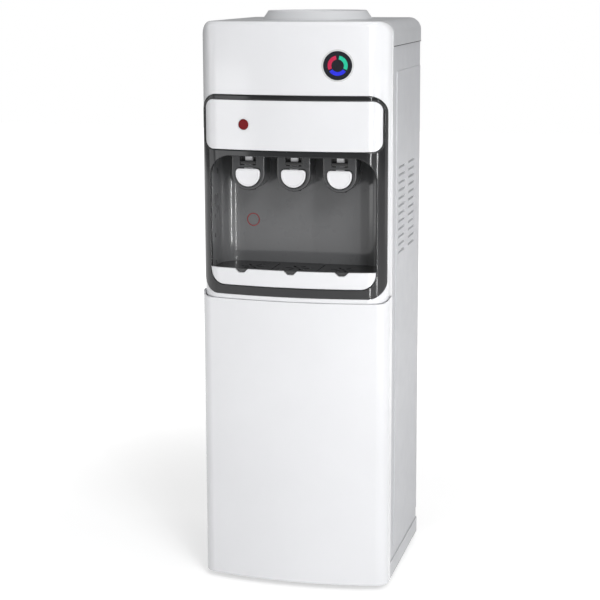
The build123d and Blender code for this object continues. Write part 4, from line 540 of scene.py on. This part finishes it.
def add_cover_shade_strips():
    side_low, side_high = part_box("right_side_panel")
    cover_low, cover_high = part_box("top_cover")
    length = cover_high.y - side_low.y - SEAM_SHADE_HEIGHT
    # Each strip is painted shade: its black rubber finish stands for the seam's shadow, not for a real seal
    seam_bar = bar_mesh("cover_seam_shade", (SEAM_SHADE_WIDTH, length, SEAM_SHADE_HEIGHT), MATERIALS["black_rubber"])
    for side, word in SIDES:
        place = (
            side * (side_high.x - SEAM_SHADE_SETBACK - SEAM_SHADE_WIDTH / 2),
            side_low.y + length / 2,
            cover_low.z - SEAM_SHADE_HEIGHT / 2,
        )
        add_piece("cover_seam_shade_" + word, seam_bar, Matrix.Translation(place))


# The upper front panel with its soft top edge

TOP_EDGE_ROUND = 0.009
TOP_EDGE_STEPS = 7
SHOULDER_REACH = 0.021
SAME_POINT = 0.000002
FLAT_ANGLE = math.radians(0.2)
QUAD_CORNERS = 4

# Limits on the normals of the two faces beside a top edge
WALL_MOST_Y = -0.15
WALL_MOST_TILT = 0.05
ROOF_MOST_Y = 0.02
ROOF_LEAST_Z = 0.25


def is_top_edge(edge, lowest):
    """True for an outer edge between the bowed wall and the top or a shoulder of a front panel."""
    if len(edge.link_faces) != 2 or min(vert.co.z for vert in edge.verts) < lowest:
        return False
    wall, roof = sorted((face.normal for face in edge.link_faces), key=lambda normal: normal.y)
    wall_fits = wall.y < WALL_MOST_Y and abs(wall.z) < WALL_MOST_TILT
    roof_fits = abs(roof.y) < ROOF_MOST_Y and roof.z > ROOF_LEAST_Z
    return wall_fits and roof_fits


def soft_topped(name, node, material):
    """A copy of a node's mesh whose front top edge is rounded."""
    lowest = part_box(node)[1].z - SHOULDER_REACH
    bm = bmesh.new()
    bm.from_mesh(NODES[node].data)
    bmesh.ops.remove_doubles(bm, verts=bm.verts, dist=SAME_POINT)
    bmesh.ops.dissolve_limit(bm, angle_limit=FLAT_ANGLE, verts=bm.verts, edges=bm.edges)
    bm.normal_update()
    edges = [edge for edge in bm.edges if is_top_edge(edge, lowest)]
    bmesh.ops.bevel(bm, geom=edges, offset=TOP_EDGE_ROUND, segments=TOP_EDGE_STEPS, profile=ROUND_PROFILE,
                    affect="EDGES", clamp_overlap=False)
    bmesh.ops.triangulate(bm, faces=[face for face in bm.faces if len(face.verts) > QUAD_CORNERS])
    return finished_mesh(bm, name, material)


def add_soft_panel():
    mesh = soft_topped("upper_front_soft", "upper_front_panel", MATERIALS["white_gloss"])
    panel = add_piece("upper_front_soft", mesh)
    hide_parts("upper_front_panel")


# The floor and the world

FLOOR_COLOUR = (0.80, 0.80, 0.80, 1)
FLOOR_SIDE = 6
FLOOR_FRONT = -6
FLOOR_REAR = 8
FADE_START = 0.45
FADE_END = 1.6
NEAR_GLOW = 0.50
FAR_GLOW = 1.0
WORLD_COLOUR = (1, 1, 1, 1)
WORLD_LIGHT = 0.22
WORLD_SEEN = 1.0


def link_all(tree, wires):
    for start, end in wires:
        tree.links.new(start, end)


def floor_material():
    """A pale floor that glows towards white for the camera and in reflections, and keeps the shadow."""
    material = bpy.data.materials.new("floor_white")
    material.use_nodes = True
    tree = material.node_tree
    tree.nodes.clear()
    out = new_node(tree, "ShaderNodeOutputMaterial")
    diffuse = new_node(tree, "ShaderNodeBsdfDiffuse", Color=FLOOR_COLOUR)
    glow = new_node(tree, "ShaderNodeEmission")
    both = new_node(tree, "ShaderNodeAddShader")
    path = new_node(tree, "ShaderNodeLightPath")
    seen = new_node(tree, "ShaderNodeMath")
    seen.operation = "MAXIMUM"
    strength = new_node(tree, "ShaderNodeMath")
    strength.operation = "MULTIPLY"
    place = new_node(tree, "ShaderNodeTexCoord")
    reach = new_node(tree, "ShaderNodeVectorMath")
    reach.operation = "LENGTH"
    fade = new_node(tree, "ShaderNodeMapRange", From_Min=FADE_START, From_Max=FADE_END, To_Min=NEAR_GLOW,
                    To_Max=FAR_GLOW)
    fade.interpolation_type = "SMOOTHSTEP"
    link_all(tree, (
        (path.outputs["Is Camera Ray"], seen.inputs[0]),
        (path.outputs["Is Glossy Ray"], seen.inputs[1]),
        (place.outputs["Object"], reach.inputs[0]),
        (reach.outputs["Value"], fade.inputs["Value"]),
        (seen.outputs[0], strength.inputs[0]),
        (fade.outputs["Result"], strength.inputs[1]),
        (strength.outputs[0], glow.inputs["Strength"]),
        (diffuse.outputs[0], both.inputs[0]),
        (glow.outputs[0], both.inputs[1]),
        (both.outputs[0], out.inputs["Surface"]),
    ))
    return material


def add_floor():
    corners = [
        (-FLOOR_SIDE, FLOOR_FRONT, 0),
        (FLOOR_SIDE, FLOOR_FRONT, 0),
        (FLOOR_SIDE, FLOOR_REAR, 0),
        (-FLOOR_SIDE, FLOOR_REAR, 0),
    ]
    mesh = bpy.data.meshes.new("floor")
    mesh.from_pydata(corners, [], [(0, 1, 2, 3)])
    mesh.materials.append(floor_material())
    floor = bpy.data.objects.new("floor", mesh)
    bpy.context.scene.collection.objects.link(floor)


def set_world():
    """An even world that is white to the camera and lights the object softly."""
    world = bpy.data.worlds.new("studio")
    bpy.context.scene.world = world
    world.use_nodes = True
    tree = world.node_tree
    tree.nodes.clear()
    out = new_node(tree, "ShaderNodeOutputWorld")
    background = new_node(tree, "ShaderNodeBackground", Color=WORLD_COLOUR)
    path = new_node(tree, "ShaderNodeLightPath")
    level = new_node(tree, "ShaderNodeMapRange", To_Min=WORLD_LIGHT, To_Max=WORLD_SEEN)
    link_all(tree, (
        (path.outputs["Is Camera Ray"], level.inputs["Value"]),
        (level.outputs["Result"], background.inputs["Strength"]),
        (background.outputs[0], out.inputs["Surface"]),
    ))


# Lamps: name, place, the point that it faces, width, height and watts

LAMPS = (
    ("key_high_right", (1.5, -2.25, 2.3), (0, 0, 0.8), 1.2, 1.0, 37),
    ("key_right_front", (1.5, -2.6, 1.7), (0, 0, 0.55), 1.4, 1.8, 9),
    ("strip_right_front", (1.25, -2.2, 0.54), (0, 0, 0.54), 0.03, 1.02, 10),
    ("strip_right", (2.1, -1.4, 0.35), (0, 0, 0.35), 0.04, 0.6, 8),
    ("side_right", (2.8, 0.6, 1.0), (0, 0, 0.5), 1.2, 1.8, 6),
    ("top_soft", (0.2, 0.1, 3.0), (0, 0, 0.5), 1.8, 1.8, 17),
    ("fill_low_left", (-1.9, -2.3, 0.5), (0, 0, 0.3), 1.2, 0.7, 5),
    ("side_left", (-2.6, -0.9, 1.0), (0, 0, 0.5), 1.2, 1.8, 9),
)


def add_lamp(name, place, target, width, height, watts):
    """A rectangular lamp that faces its target."""
    light = bpy.data.lights.new(name, "AREA")
    light.shape = "RECTANGLE"
    light.size = width
    light.size_y = height
    light.energy = watts
    lamp = bpy.data.objects.new(name, light)
    lamp.location = place
    lamp.rotation_euler = (Vector(target) - Vector(place)).to_track_quat("-Z", "Y").to_euler()
    bpy.context.scene.collection.objects.link(lamp)


# The camera of the photo, as it was fitted to the object's long edges

CAMERA_PLACE = Vector((0.65872, -2.67288, 1.01852))
CAMERA_RIGHT = Vector((0.96894288, 0.24726095, -0.00342272))
CAMERA_UP = Vector((-0.04128647, 0.17540547, 0.98363019))
CAMERA_FORWARD = Vector((-0.2438137, 0.95294016, -0.18016642))
FOCAL_PX = 1608.6
PICTURE_PX = 600
SENSOR_MM = 36
SHIFT_SHARE = -0.045
CLIP_START = 0.05
CLIP_END = 60


def add_camera():
    camera_data = bpy.data.cameras.new("camera")
    camera_data.sensor_width = SENSOR_MM
    camera_data.lens = FOCAL_PX * SENSOR_MM / PICTURE_PX
    camera_data.shift_y = SHIFT_SHARE
    camera_data.clip_start = CLIP_START
    camera_data.clip_end = CLIP_END
    camera = bpy.data.objects.new("camera", camera_data)
    facing = Matrix((CAMERA_RIGHT, CAMERA_UP, -CAMERA_FORWARD)).transposed().to_4x4()
    camera.matrix_world = Matrix.Translation(CAMERA_PLACE) @ facing
    bpy.context.scene.collection.objects.link(camera)
    bpy.context.scene.camera = camera


# The scene

dress_nodes()
add_rear_screws()
add_base_and_cover_screws()
add_mount_bolts()
add_ring_mark()
add_window_sills()
add_cover_shade_strips()
add_soft_panel()
add_floor()
set_world()
for lamp_row in LAMPS:
    add_lamp(*lamp_row)
add_camera()
bpy.context.scene.view_settings.view_transform = "Standard"
